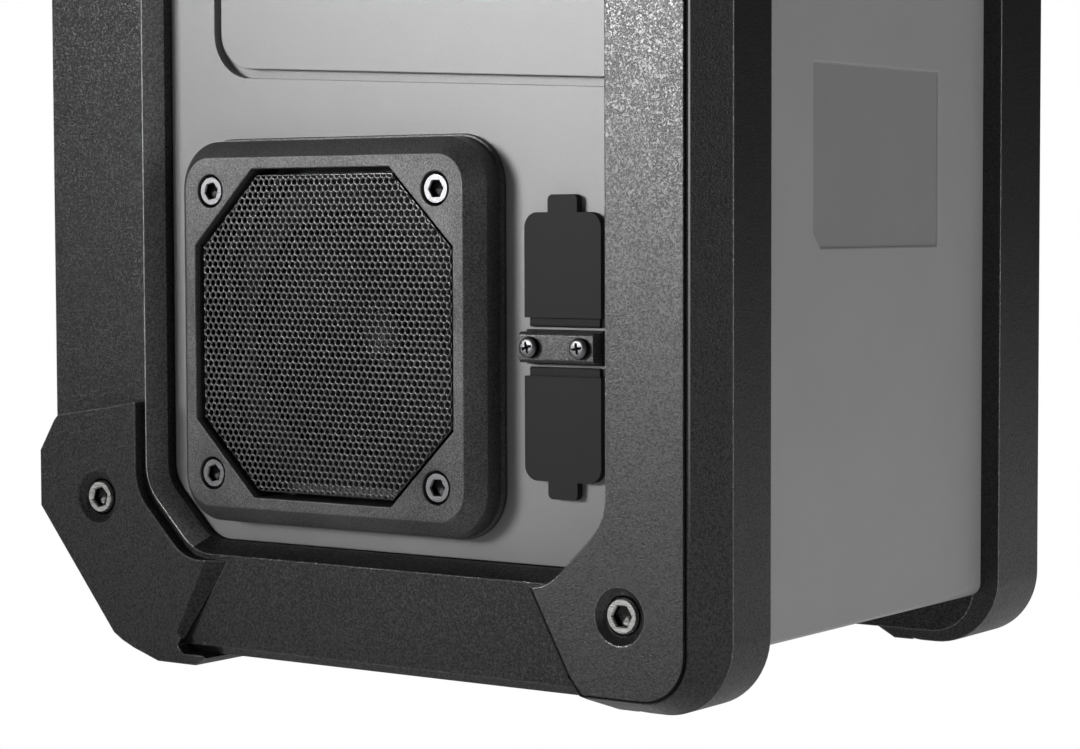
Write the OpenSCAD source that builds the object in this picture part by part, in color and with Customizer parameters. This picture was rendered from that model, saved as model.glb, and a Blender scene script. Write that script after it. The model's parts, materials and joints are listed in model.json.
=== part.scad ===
// Jobsite radio in a roll cage. Millimetres, +Z up, origin on the floor under the middle of the cage.
// -Y is the rear, with the small speaker, the two port flaps and the battery door.
// +Y is the front, with the main speaker, the display, the buttons and the knobs.

/* [Overall] */
// Width over the cage
frame_w = 232; // [220:1:300]
// Depth over the cage, rear guard face to front guard face
frame_d = 192; // [185:1:240]
// Height of the cage, feet to top guards
frame_h = 283; // [276:1:345]

/* [Cage rings] */
// Depth of the rear ring
rear_ring_d = 27; // [24:0.5:32]
// Depth of the front ring
front_ring_d = 35; // [30:0.5:42]
// Width of the left post's face
post_w = 35.3; // [30:0.1:42]
// How far the left post's side stands inside the corner guards
post_inset = 3.6; // [2:0.1:5]
// Height of the bottom bar's upper edge above the floor
bar_top = 31.5; // [28:0.5:38]
// Ground clearance of the bottom bar
bar_lift = 3; // [2:0.5:4]
// Width of the bevel round a ring's window
bevel_w = 3; // [1:0.5:5]
// Depth of the bevel round a ring's window
bevel_d = 6; // [3:0.5:8]
// Size of the cut across a window's corner
window_cut = 16.6; // [12:0.1:20]
// Radius at each end of that cut
window_r = 11; // [6:1:14]

/* [Guards] */
// How far the guards stand proud of the posts and bars
guard_step = 3.5; // [2:0.5:5]
// Thickness of the guards in front of the ring
guard_t = 10; // [8:0.5:12]
// Width of the side guard's face, with its chamfer
guard_w = 32.4; // [29:0.1:38]
// Thickness of the guards' outer lips
guard_lip = 8; // [6:0.5:10]
// Size of the side guard's outer chamfer
guard_chamfer = 8.8; // [5:0.1:9]
// Outer corner radius of the side guard
guard_r = 20; // [14:1:24]
// Diameter of the cage screws' heads
cage_head_d = 9.7; // [8:0.1:11]
// Diameter of the cage screws' shanks
cage_screw_d = 6; // [5:0.5:7]

/* [Housing] */
// Gap between the housing's side panel and the cage's outer side
side_recess = 5.35; // [4:0.05:9]
// Height of the housing's underside above the floor
housing_z0 = 14.5; // [12:0.5:18]
// Wall thickness of the housing
wall = 3; // [2:0.5:4]
// Depth at which the rear and front housings meet, from the front ring
seam_gap = 6.7; // [5:0.1:10]
// Thickness of the side panels
side_panel_t = 2.4; // [1.6:0.1:3]

/* [Panels] */
// Depth of the rear panel's face behind the rear guards
rear_recess = 12.5; // [11:0.5:16]
// Depth of the front panel's face behind the front guards
front_recess = 16; // [14:0.5:20]
// Thickness of the panels' faces
panel_t = 3; // [2:0.5:4]
// Clearance between a panel and its window
panel_gap = 0.3; // [0.2:0.1:0.5]

/* [Rear speaker] */
// Width of the rear speaker's bezel
bezel_w = 106; // [98:1:110]
// Height of the bezel's middle above the floor
bezel_z = 94; // [90:1:104]
// How far the bezel stands out of the panel
bezel_t = 12; // [8:0.5:12.5]
// Chamfer round the bezel's face
bezel_chamfer = 4.5; // [2:0.5:6]
// Corner radius of the bezel
bezel_r = 13; // [8:1:18]
// Width of the bezel's eight-sided opening
grille_w = 90; // [80:1:94]
// Distance between the bezel's screws
bezel_pitch = 78.6; // [74:0.2:84]
// Outer radius of the rear speaker's basket
rear_driver_r = 40; // [34:1:43]

/* [Front speaker] */
// Width of the front speaker's bezel
front_bezel_w = 136; // [128:1:144]
// Height of the front speaker's bezel
front_bezel_h = 118; // [112:1:124]
// Height of the front speaker's middle above the floor
front_bezel_z = 101; // [98:1:108]
// How far the front speaker's bezel stands out
front_bezel_t = 9; // [6:0.5:12]
// Outer radius of the front speaker's basket
front_driver_r = 52; // [44:1:54]

/* [Ports] */
// Width of the port flaps
flap_w = 24; // [20:0.5:25]
// Thickness of the port flaps
flap_t = 2.4; // [1.6:0.1:3]
// Height of the clamp bar's middle above the floor
clamp_z = 92.1; // [90:0.1:100]
// Height of the clamp bar's face
clamp_h = 8; // [7:0.5:10]
// Distance between the clamp bar's screws
clamp_pitch = 15.7; // [13:0.1:17]
// Length of each port flap without its tab
flap_h = 27.3; // [24:0.1:30]

/* [Battery bay] */
// Height of the battery bay's opening
bay_h = 66; // [64:1:70]
// Depth of the battery bay behind the rear panel's face
bay_d = 66; // [62:1:70]
// Length of the battery pack
pack_l = 100; // [80:1:100]
// Height of the battery pack
pack_w = 62; // [58:1:63]
// Thickness of the battery pack
pack_t = 52; // [44:1:56]

/* [Handle] */
// Diameter of the handle's grip
grip_d = 25; // [20:1:27]
// Distance from the handle's pivot to its grip
handle_arm = 44; // [38:1:46]
// Diameter of the handle's pivot pins
handle_pin_d = 6; // [5:0.5:7]

/* [Antenna] */
// Outer diameter of the antenna's lowest tube
antenna_d = 7; // [6:0.1:7.4]

/* [Controls] */
// Diameter of the knobs
knob_d = 34; // [26:1:38]
// Width of a push button
button_w = 13; // [9:0.5:14]
// Height of a push button
button_h = 7; // [5:0.5:9]
// Distance between the push buttons' middles
button_pitch = 18; // [15:0.5:20]
// Travel of a push button
button_travel = 1.5; // [0.8:0.1:2]
// Width of the display's lens
lens_w = 96; // [80:1:110]
// Height of the display's lens
lens_h = 30; // [24:1:32]

/* [Hidden] */
$fn = 48;

// Places on the cage
half_w = frame_w / 2;
half_d = frame_d / 2;
rear_y = -half_d;
post_y = rear_y + guard_step;
rear_ring_y = rear_y + rear_ring_d;
front_ring_y = half_d - front_ring_d;
post_x = -half_w + post_inset;
lip_x = half_w - guard_lip;
guard_x = half_w - guard_w;
guard_back = 2.4;
window_x0 = post_x + post_w + bevel_w;
window_x1 = guard_x + guard_back;
window_z0 = bar_top + bevel_w;
window_z1 = frame_h - window_z0;
bar_chamfer = 2.4;
guard_window_grow = 3.9;

// Cage screws
left_screw = [-half_w + 22.9, 45.6];
right_screw = [half_w - 28.2, 25.3];
cage_head_h = 3.5;
cage_head_sink = 1;
cage_dish_r = 7.5;
cage_dish_h = 2;
cage_grip = 5.5;
screw_gap = 0.1;
head_gap = 0.3;

// Places on the housing
housing_x = half_w - side_recess - 0.4;
housing_z1 = frame_h - housing_z0;
side_face_x = half_w - side_recess;
side_panel_x = side_face_x - side_panel_t;
side_panel_lift = 1.4;
side_panel_r = 16;
cavity_x = side_panel_x - wall;
seam_y = front_ring_y - seam_gap;
flange_w = 4;
flange_r = 8;
flange_low_r = 18;
well_x = 98;
well_y0 = rear_ring_y + 7;
well_floor = housing_z1 - 27;
boss_r = 6;
label_y = [-38.3, 32];
label_z = [117.3, 166.2];
label_sink = 0.8;

// Places on the panels
rear_face_y = rear_y + rear_recess;
rear_back_y = rear_face_y + panel_t;
front_face_y = half_d - front_recess;
front_back_y = front_face_y - panel_t;
front_mid_x = (post_x + post_w + bevel_w + guard_x) / 2;

// Speakers
bezel_x = front_mid_x - 14.4;
bezel_rim = 0.9;
bezel_rim_t = 1.5;
grille_h = grille_w + 0.5;
grille_cut = 21;
grille_gap = 1.5;
grille_t = 1.2;
grille_sink = 1.5;
bezel_screw_d = 5;
bezel_head_d = 8.5;
bezel_head_h = 3;
front_grille_w = front_bezel_w - 16;
front_grille_h = front_bezel_h - 16;
front_grille_cut = 26;
front_pitch_x = front_bezel_w - 22;
front_pitch_z = front_bezel_h - 22;
driver_flange = 2;
rear_driver_depth = 42;
front_driver_depth = 48;

// Ports
port_x = guard_x - 20;
strip_t = 1.5;
clamp_t = 4;
clamp_w = flap_w - 0.6;
hinge_rise = 1.9;
flap_web = 1.7;
flap_tab_w = 9.2;
flap_tab_h = 4.6;
flap_r = 4;
flap_hinge_y = rear_face_y - strip_t / 2;
port_bore_rise = 21;
port_body = 12;
port_body_t = 14;
port_collar_r = 4.5;
clamp_head_d = 5.64;

// Battery bay
bay_x0 = window_x0 + 24.1;
bay_x1 = guard_x - 12.6;
bay_z0 = well_floor - wall - 0.5 - 2 - bay_h;
bay_z1 = bay_z0 + bay_h;
bay_wall = 2;
seat_t = 2.5;
bay_y0 = rear_back_y + seat_t;
bay_y1 = rear_face_y + bay_d;
pack_gap = 0.3;
rail_t = (bay_h - pack_w) / 2 - pack_gap;
rail_w = 8;
contact_t = 6;
contact_l = 8;
pack_x0 = bay_x0 + contact_t + pack_gap;
pack_y1 = bay_y1 - 4.5;
pack_y0 = pack_y1 - pack_t;
pack_z = (bay_z0 + bay_z1) / 2;

// Battery door
door_gap = 2.6;
door_t = 2.5;
door_x0 = bay_x0 - 4.9;
door_x1 = bay_x1 + 5;
door_z1 = bay_z1 + 5;
door_left_z = bay_z0 - 2.55;
door_drop = 6.1;
door_r = 10.4;
door_axis_x = door_x1 + 3;
door_axis_y = rear_face_y + 1.5;
knuckle_r = 2.5;
knuckle_n = 5;
knuckle_gap = 0.4;
door_pin_r = 1.25;
latch_z = pack_z;

// Handle
handle_y = -3.75;
handle_z = housing_z1 - grip_d / 2;
arm_t = 6;
arm_x1 = well_x - 1;
arm_x0 = arm_x1 - arm_t;
arm_r = 9;
bar_r = 7;
grip_l = 130;
fit = 0.05;

// Antenna
antenna_y = rear_ring_y + 11;
antenna_z = housing_z1 + 8;
antenna_x = -(well_x + housing_x) / 2;
antenna_root = 12;
tube_wall = 0.65;
tube_2_d = antenna_d - 2 * tube_wall - 2 * fit;
tube_3_d = tube_2_d - 2 * tube_wall - 2 * fit;
antenna_l = 184;
tip_l = 6;

// Controls
knob_x = 56;
knob_z = 188;
knob_l = 14;
knob_gap = 0.6;
shaft_r = 3;
button_proud = 2.2;
button_gap = 0.3;
board_y = front_back_y - 10;
board_t = 1.6;
lens_z = 227;
lens_rim = 2;
lens_proud = 0.6;
board_x = 70;
board_z0 = 172;
board_z1 = 243;
board_cut = 9;

// An outline in X and Z, made t thick from y0 towards +Y.
module slab(y0, t) {
    translate([0, y0 + t, 0])
        rotate([90, 0, 0])
            linear_extrude(t)
                children();
}

// An outline in Y and Z, made t thick from x0 towards +X.
module side_slab(x0, t) {
    translate([x0, 0, 0])
        rotate([90, 0, 90])
            linear_extrude(t)
                children();
}

// A round bar along Y from y0 to y1.
module y_bar(x, z, y0, y1, r) {
    translate([x, y0, z])
        rotate([-90, 0, 0])
            cylinder(h = y1 - y0, r = r);
}

// A round bar along X from x0 to x1.
module x_bar(y, z, x0, x1, r) {
    translate([x0, y, z])
        rotate([0, 90, 0])
            cylinder(h = x1 - x0, r = r);
}

module box(from, to) {
    translate(from)
        cube(to - from);
}

// What is drawn for the rear, turned to face the front.
module at_front() {
    mirror([0, 1, 0])
        children();
}

// A lower corner, and its mirror image at the top of the cage.
module both_ends() {
    children();
    translate([0, 0, frame_h])
        mirror([0, 0, 1])
            children();
}

module round_rect(x0, z0, x1, z1, r) {
    translate([x0 + r, z0])
        square([x1 - x0 - 2 * r, z1 - z0]);
    translate([x0, z0 + r])
        square([x1 - x0, z1 - z0 - 2 * r]);
    for (x = [x0 + r, x1 - r], z = [z0 + r, z1 - r])
        translate([x, z])
            circle(r);
}

// The points of an arc round c from angle a0 to a1.
arc_steps = 5;
function arc(c, r, a0, a1) = [
    for (i = [0:arc_steps])
        let (a = a0 + (a1 - a0) * i / arc_steps)
            c + r * [cos(a), sin(a)]
];

// A rectangle whose corners are cut at 45 degrees, with each end of the cut rounded.
module eased_rect(x0, z0, x1, z1, cut, r) {
    t = cut + r * tan(22.5);
    polygon(concat(
        arc([x1 - t, z0 + r], r, -90, -45), arc([x1 - r, z0 + t], r, -45, 0),
        arc([x1 - r, z1 - t], r, 0, 45), arc([x1 - t, z1 - r], r, 45, 90),
        arc([x0 + t, z1 - r], r, 90, 135), arc([x0 + r, z1 - t], r, 135, 180),
        arc([x0 + r, z0 + t], r, 180, 225), arc([x0 + t, z0 + r], r, 225, 270)
    ));
}

// The cage's window, grown by grow on every side.
module window_outline(grow) {
    eased_rect(window_x0 - grow, window_z0 - grow, window_x1 + grow, window_z1 + grow,
        window_cut + 0.586 * grow, window_r + grow);
}

// A rounded block whose outline at y0 grows by grow on every side towards y0 + t.
module taper_block(x0, z0, x1, z1, r, y0, t, grow) {
    for (x = [x0 + r, x1 - r], z = [z0 + r, z1 - r])
        translate([x, y0, z])
            rotate([-90, 0, 0])
                cylinder(h = t, r1 = r, r2 = r + grow);
    side_slab(x0 + r, x1 - x0 - 2 * r)
        polygon([[y0, z0], [y0 + t, z0 - grow], [y0 + t, z1 + grow], [y0, z1]]);
    translate([0, 0, z0 + r])
        linear_extrude(z1 - z0 - 2 * r)
            polygon([[x0, y0], [x1, y0], [x1 + grow, y0 + t], [x0 - grow, y0 + t]]);
}

// A rectangle with its four corners cut off.
module cut_rect(w, h, cut) {
    polygon([
        [-w / 2, -h / 2 + cut], [-w / 2 + cut, -h / 2], [w / 2 - cut, -h / 2], [w / 2, -h / 2 + cut],
        [w / 2, h / 2 - cut], [w / 2 - cut, h / 2], [-w / 2 + cut, h / 2], [-w / 2, h / 2 - cut]
    ]);
}

// A cap screw along Y, its head's face at y0, its socket six-sided.
module cap_screw(x, z, y0, head_d, head_h, d, l) {
    difference() {
        union() {
            y_bar(x, z, y0, y0 + head_h, head_d / 2);
            y_bar(x, z, y0 + head_h, y0 + head_h + l, d / 2);
        }
        translate([x, y0, z])
            rotate([-90, 0, 0])
                translate([0, 0, -1])
                    cylinder(h = 1 + head_h * 0.6, r = d * 0.48, $fn = 6);
    }
}

// The ring behind the guards, without its window: cut corners at the left, round ones at the right.
module ring_outline() {
    corner = 14;
    cut_z = 45.3;
    cut_x = 34.9;
    polygon([
        [post_x, cut_z], [post_x + cut_x, bar_lift], [lip_x - corner, bar_lift],
        [lip_x - corner, frame_h - bar_lift], [post_x + cut_x, frame_h - bar_lift],
        [post_x, frame_h - cut_z]
    ]);
    round_rect(0, bar_lift, lip_x, frame_h - bar_lift, corner);
}

// The side guard seen from the front: a full-height post with a foot and a toe along each bar.
module side_guard_outline() {
    toe_x = half_w - 56.3;
    foot_x = half_w - 41;
    difference() {
        union() {
            round_rect(half_w - 2 * guard_r - 4, 0, half_w, frame_h, guard_r);
            both_ends_flat()
                polygon([
                    [toe_x, bar_top - 0.5], [foot_x - 3, 8.5], [foot_x + 1.5, bar_lift], [half_w - 34, 0],
                    [half_w - 28, 0], [half_w - 28, 90], [toe_x, 90]
                ]);
        }
        eased_rect(-half_w, window_z0 - guard_window_grow, guard_x, window_z1 + guard_window_grow,
            window_cut + 1.8, window_r + 3);
    }
}

module both_ends_flat() {
    children();
    translate([0, frame_h])
        mirror([0, 1])
            children();
}

// The lower corner guard seen from the front, with its foot under the bar.
module corner_guard_outline() {
    x = -half_w;
    inner_x = window_x0 - bevel_w - 0.9;
    difference() {
        polygon([
            [x, 42], [x, 58.2], [x + 5.7, 67.2], [x + 7.2, 68.7], [inner_x, 73.6],
            [inner_x + 18, 50], [x + 70.8, 32], [x + 53.4, 5.2], [x + 55.5, bar_lift],
            [x + 66, bar_lift], [x + 60.2, 0], [x + 46, 0], [x + 36.5, 3], [x + 32, 4.9], [x + 28.9, 6.7]
        ]);
        eased_rect(inner_x, bar_top - 1.5, 2 * half_w, 2 * frame_h, window_cut + 1.8, window_r + 3);
    }
}

module cage_screw_places() {
    for (p = [left_screw, right_screw, [left_screw[0], frame_h - left_screw[1]],
              [right_screw[0], frame_h - right_screw[1]]])
        translate([p[0], 0, p[1]])
            children();
}

// Clearance for a cage screw's shank, head and dish, from the guard's face inwards.
module cage_screw_hole(l) {
    seat = cage_head_sink + cage_head_h;
    y_bar(0, 0, rear_y - 1, rear_y + l, cage_screw_d / 2 + screw_gap);
    y_bar(0, 0, rear_y - 1, rear_y + seat, cage_head_d / 2 + head_gap);
    translate([0, rear_y, 0])
        rotate([-90, 0, 0])
            cylinder(h = cage_dish_h, r1 = cage_dish_r, r2 = cage_head_d / 2 + head_gap);
}

module ring_frame(d) {
    over = 1;
    spread = bevel_w * (1 + over / bevel_d);
    difference() {
        slab(post_y, d - guard_step)
            ring_outline();
        slab(post_y - over, d + over)
            window_outline(0);
        hull() {
            slab(post_y - over, 0.1)
                window_outline(spread);
            slab(post_y + bevel_d - 0.1, 0.1)
                window_outline(0);
        }
        slab(post_y - over, guard_t - guard_step + over) {
            side_guard_outline();
            both_ends_flat()
                corner_guard_outline();
        }
        both_ends()
            side_slab(-half_w, frame_w)
                polygon([
                    [post_y - over, bar_lift - over], [post_y + bar_chamfer + over, bar_lift - over],
                    [post_y - over, bar_lift + bar_chamfer + over]
                ]);
        cage_screw_places()
            cage_screw_hole(d + over);
    }
}

// The guard's body: full thickness in front, a lip round the outside of the ring behind.
module guard_body(d) {
    difference() {
        slab(rear_y, d)
            children();
        slab(rear_y + guard_t, d)
            ring_outline();
        cage_screw_places()
            cage_screw_hole(guard_t + 1);
    }
}

// The side guard's outer skin: square to the front behind its chamfer, drawn in towards its face.
module side_guard_skin(d) {
    foot_chamfer = 4;
    face_r = 13;
    hull() {
        slab(rear_y, 0.1)
            round_rect(0, foot_chamfer, half_w - guard_chamfer, frame_h - foot_chamfer, face_r);
        slab(rear_y + guard_chamfer, 0.1)
            round_rect(0, 0, half_w, frame_h, guard_r);
    }
    slab(rear_y + guard_chamfer, d)
        square([half_w, frame_h]);
}

module side_guard(d) {
    intersection() {
        guard_body(d)
            side_guard_outline();
        side_guard_skin(d);
    }
}

module corner_guards(d) {
    end_lean = 27.8;
    end_slope = 48;
    both_ends()
        difference() {
            guard_body(d)
                corner_guard_outline();
            translate([-half_w + 64.4, rear_y, 30])
                rotate([0, end_lean, 0])
                    rotate([0, 0, -end_slope])
                        translate([0, -20, -24.5])
                            cube([20, 40, 60]);
        }
}

module rear_frame() {
    color("#3a3a3c")
        ring_frame(rear_ring_d);
}

module front_frame() {
    color("#3a3a3c")
        at_front()
            ring_frame(front_ring_d);
}

module rear_side_guard() {
    color("#303033")
        side_guard(rear_ring_d);
}

module front_side_guard() {
    color("#303033")
        at_front()
            side_guard(front_ring_d);
}

module rear_corner_guards() {
    color("#303033")
        corner_guards(rear_ring_d);
}

module front_corner_guards() {
    color("#303033")
        at_front()
            corner_guards(front_ring_d);
}

module ring_screws(d) {
    cage_screw_places()
        cap_screw(0, 0, rear_y + cage_head_sink, cage_head_d, cage_head_h, cage_screw_d,
            d - cage_head_sink - cage_head_h + cage_grip);
}

module cage_screws() {
    color("#8a8a8c") {
        ring_screws(rear_ring_d);
        at_front()
            ring_screws(front_ring_d);
    }
}

// The opening in a housing's flange, under a panel's skirt.
module flange_window() {
    x0 = window_x0 + flange_w;
    x1 = window_x1 - flange_w;
    z1 = well_floor - wall;
    round_rect(x0, window_z0 + flange_w, x1, z1, flange_low_r);
    round_rect(x0, window_z0 + flange_w + flange_low_r, x1, z1, flange_r);
}

// The main shell: open at the rear and the front, with a well for the handle in its top.
module rear_housing() {
    l = seam_y - rear_ring_y;
    color("#6b6b6d")
        difference() {
            union() {
                difference() {
                    slab(rear_ring_y, l)
                        round_rect(-housing_x, housing_z0, housing_x, housing_z1, 4);
                    slab(rear_ring_y + flange_w, l)
                        round_rect(-cavity_x, housing_z0 + wall, cavity_x, well_floor - wall, 3);
                    slab(rear_ring_y - 1, l)
                        flange_window();
                }
                cage_screw_places()
                    y_bar(0, 0, rear_ring_y + flange_w - 1, rear_ring_y + cage_grip + 2, boss_r);
                for (x = [-board_x, board_x], y = [-45, 40])
                    translate([x, y, housing_z0 + wall - 1])
                        cylinder(h = 9.5, r = 3.5);
            }
            box([-well_x, well_y0, well_floor], [well_x, seam_y + 1, housing_z1 + 1]);
            for (side = [-1, 1])
                side_slab(side * (side_panel_x + 5) - 5, 10)
                    side_outline(0);
            cage_screw_places()
                y_bar(0, 0, rear_ring_y - 1, rear_ring_y + cage_grip + 0.5, cage_screw_d / 2 + fit);
            x_bar(handle_y, handle_z, -well_x - 8.5, well_x + 8.5, handle_pin_d / 2 + fit);
            translate([antenna_x, antenna_y, housing_z1 - 8])
                cylinder(h = 9, r = 2.55);
        }
}

// The side panel's outline, round at its front corners.
module side_outline(inset) {
    z0 = housing_z0 + side_panel_lift + inset;
    z1 = housing_z1 - side_panel_lift - inset;
    translate([rear_ring_y - 1, z0])
        square([seam_y - rear_ring_y - side_panel_r + 1, z1 - z0]);
    translate([seam_y - side_panel_r - 1, z0 + side_panel_r])
        square([side_panel_r + 1 - inset, z1 - z0 - 2 * side_panel_r]);
    for (z = [z0 + side_panel_r, z1 - side_panel_r])
        translate([seam_y - side_panel_r - inset, z])
            circle(side_panel_r);
}

module side_panel_shape() {
    difference() {
        intersection() {
            side_slab(side_panel_x, side_panel_t)
                side_outline(0.15);
            box([0, rear_ring_y, 0], [half_w, seam_y, frame_h]);
        }
        children();
    }
}

module left_side_panel() {
    color("#747476")
        mirror([1, 0, 0])
            side_panel_shape();
}

module right_side_panel() {
    c = 3.6;
    color("#747476")
        side_panel_shape()
            side_slab(side_face_x - label_sink, 2)
                polygon([
                    [label_y[0], label_z[0] + c], [label_y[0] + c, label_z[0]], [label_y[1], label_z[0]],
                    [label_y[1], label_z[1]], [label_y[0], label_z[1]]
                ]);
}

module front_housing() {
    l = front_ring_y - seam_y;
    color("#5c5c5e")
        difference() {
            union() {
                difference() {
                    slab(seam_y, l)
                        round_rect(-housing_x, housing_z0, housing_x, housing_z1, 4);
                    slab(seam_y - 1, l + 1 - wall)
                        round_rect(-cavity_x, housing_z0 + wall, cavity_x, well_floor - wall, 3);
                    slab(seam_y - 1, l + 2)
                        flange_window();
                }
                cage_screw_places()
                    y_bar(0, 0, seam_y, front_ring_y - 1, boss_r);
            }
            cage_screw_places()
                y_bar(0, 0, front_ring_y - cage_grip - 0.5, front_ring_y + 1, cage_screw_d / 2 + fit);
        }
}

// A panel's outline in its window, inset on every side.
module panel_outline(inset) {
    g = panel_gap + inset;
    window_outline(-g);
}

// A panel's tray: its face at y0, its skirt back to the housing.
module tray(y0, depth) {
    difference() {
        slab(y0, depth)
            panel_outline(0);
        slab(y0 + panel_t, depth)
            panel_outline(wall);
    }
}

// The battery door's outline, grown by grow. Its long edges slope down to the right.
module door_outline(grow) {
    x = door_x0 + door_r;
    r = door_r + grow;
    polygon(concat(
        [for (a = [90:9:180]) [x + r * cos(a), door_z1 - door_r + r * sin(a)]],
        [for (a = [180:9:270]) [x + r * cos(a), door_left_z + door_r + r * sin(a)]],
        [[door_x1 + grow, door_left_z - door_drop - grow], [door_x1 + grow, door_z1 - door_drop + grow]]
    ));
}

module knuckle(i) {
    h = (bay_h - 4) / knuckle_n;
    translate([door_axis_x, door_axis_y, bay_z0 + 2 + i * h + knuckle_gap / 2])
        cylinder(h = h - knuckle_gap, r = knuckle_r);
}

module knuckle_arm(i, x0, x1, y1) {
    h = (bay_h - 4) / knuckle_n;
    z0 = bay_z0 + 2 + i * h + knuckle_gap / 2;
    box([x0, rear_face_y, z0], [x1, y1, z0 + h - knuckle_gap]);
}

module door_pin_hole(r) {
    translate([door_axis_x, door_axis_y, bay_z0])
        cylinder(h = bay_h, r = r);
}

module rear_panel() {
    side_x = door_axis_x + knuckle_r + 0.6;
    color("#8a8a8c")
        difference() {
            union() {
                difference() {
                    tray(rear_face_y, rear_ring_y - rear_face_y);
                    slab(rear_face_y - 1, panel_t + 2) {
                        door_outline(door_gap);
                        translate([door_x1 - 5, bay_z0])
                            square([side_x - door_x1 + 5, bay_h]);
                    }
                }
                difference() {
                    slab(rear_back_y, seat_t)
                        intersection() {
                            door_outline(door_gap + 3);
                            panel_outline(wall / 2);
                        }
                    box([door_x1 - 0.5, rear_face_y, bay_z0 - 0.2],
                        [side_x, rear_back_y + 1.6, bay_z1 + 0.2]);
                    slab(rear_back_y - 1, seat_t + 2)
                        translate([bay_x0, bay_z0])
                            square([bay_x1 - bay_x0, bay_h]);
                    box([door_x0 - 8, rear_back_y - 1, latch_z - 6],
                        [door_x0 + 8, rear_back_y + 2, latch_z + 6]);
                }
                for (i = [0:2:knuckle_n - 1]) {
                    knuckle(i);
                    knuckle_arm(i, door_axis_x, side_x + 1, rear_back_y);
                }
            }
            door_pin_hole(door_pin_r);
            y_bar(bezel_x, bezel_z, rear_face_y - 1, rear_back_y + 1, rear_driver_r - 4);
            bezel_screw_places(bezel_x, bezel_z, bezel_pitch, bezel_pitch)
                y_bar(0, 0, rear_face_y - 1, rear_back_y + 1, bezel_screw_d / 2 + fit);
            for (side = [-1, 1]) {
                y_bar(port_x, clamp_z + side * port_bore_rise, rear_face_y - 1, rear_back_y + 1,
                    port_collar_r + panel_gap);
                y_bar(port_x + side * clamp_pitch / 2, clamp_z, rear_face_y - 1, rear_back_y + 1, 1.55);
            }
        }
}

module bezel_screw_places(x, z, pitch_x, pitch_z) {
    for (i = [-1, 1], j = [-1, 1])
        translate([x + i * pitch_x / 2, 0, z + j * pitch_z / 2])
            children();
}

// A speaker's bezel: a chamfered block on the face at y0 with an eight-sided opening.
module bezel(x, z, w, h, t, y0, open_w, open_h, cut, pitch_x, pitch_z) {
    front = y0 - t;
    slope = bezel_chamfer;
    head_y = front + 0.5 + bezel_head_h;
    difference() {
        translate([x, 0, z]) {
            slab(front + bezel_chamfer, t - bezel_chamfer)
                round_rect(-w / 2, -h / 2, w / 2, h / 2, bezel_r);
            taper_block(-w / 2 + slope, -h / 2 + slope, w / 2 - slope, h / 2 - slope,
                bezel_r - slope, front, bezel_chamfer, slope);
            slab(y0 - bezel_rim_t, bezel_rim_t)
                round_rect(-w / 2 - bezel_rim, -h / 2 - bezel_rim, w / 2 + bezel_rim, h / 2 + bezel_rim,
                    bezel_r + bezel_rim);
        }
        slab(front - 1, t + 2)
            translate([x, z])
                cut_rect(open_w, open_h, cut);
        bezel_screw_places(x, z, pitch_x, pitch_z) {
            y_bar(0, 0, front - 1, y0 + 1, bezel_screw_d / 2 + fit);
            y_bar(0, 0, front - 1, head_y, bezel_head_d / 2 + head_gap);
        }
    }
}

module bezel_screws(x, z, pitch_x, pitch_z, front, t) {
    bezel_screw_places(x, z, pitch_x, pitch_z)
        cap_screw(0, 0, front + 0.5, bezel_head_d, bezel_head_h, bezel_screw_d, t - 0.5 - bezel_head_h + 6);
}

// A grille: a flat plate with its edges bent back to the panel.
module grille(x, z, w, h, cut, front, back) {
    difference() {
        slab(front, back - front)
            translate([x, z])
                cut_rect(w, h, cut);
        slab(front + grille_t, back)
            translate([x, z])
                cut_rect(w - 2 * grille_t, h - 2 * grille_t, cut - 0.4);
    }
}

// A speaker's parts face -Y, with the flange's face at y0.
module driver_place(x, y0, z) {
    translate([x, y0, z])
        rotate([-90, 0, 0])
            rotate_extrude()
                children();
}

module basket(r, depth) {
    neck = r * 0.5;
    floor_z = depth * 0.55;
    polygon([
        [r - 6, 0], [r, 0], [r, driver_flange], [r - 2.5, driver_flange], [neck, floor_z + 2],
        [8, floor_z + 2], [8, floor_z], [neck - 1.5, floor_z], [r - 6, 1.6]
    ]);
}

module magnet(r, depth) {
    polygon([[0, depth * 0.55 + 2], [r * 0.55, depth * 0.55 + 2], [r * 0.55, depth], [0, depth]]);
}

module speaker_cone(r, depth) {
    apex = depth * 0.55 - 5;
    polygon([
        [0, apex - 4], [6, apex - 6], [9, apex - 3], [r - 11, 0.6], [r - 10, 1.2], [9.5, apex], [0, apex]
    ]);
}

module surround(r) {
    translate([r - 7.9, 1])
        circle(1.75);
}

module rear_bezel() {
    color("#5b5b5c")
        bezel(bezel_x, bezel_z, bezel_w, bezel_w, bezel_t, rear_face_y, grille_w, grille_h, grille_cut,
            bezel_pitch, bezel_pitch);
}

module rear_bezel_screws() {
    color("#2a2a2c")
        bezel_screws(bezel_x, bezel_z, bezel_pitch, bezel_pitch, rear_face_y - bezel_t, bezel_t);
}

module rear_grille() {
    color("#4c4c4e")
        grille(bezel_x, bezel_z, grille_w - 2 * grille_gap, grille_h - 2 * grille_gap, grille_cut - 1,
            rear_face_y - bezel_t + grille_sink, rear_face_y);
}

module rear_basket() {
    color("#202022")
        driver_place(bezel_x, rear_back_y, bezel_z)
            basket(rear_driver_r, rear_driver_depth);
}

module rear_magnet() {
    color("#3c3c40")
        driver_place(bezel_x, rear_back_y, bezel_z)
            magnet(rear_driver_r, rear_driver_depth);
}

module rear_cone() {
    color("#1a1a1c")
        driver_place(bezel_x, rear_back_y, bezel_z)
            speaker_cone(rear_driver_r, rear_driver_depth);
}

module rear_surround() {
    color("#18181a")
        driver_place(bezel_x, rear_back_y, bezel_z)
            surround(rear_driver_r);
}

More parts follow.
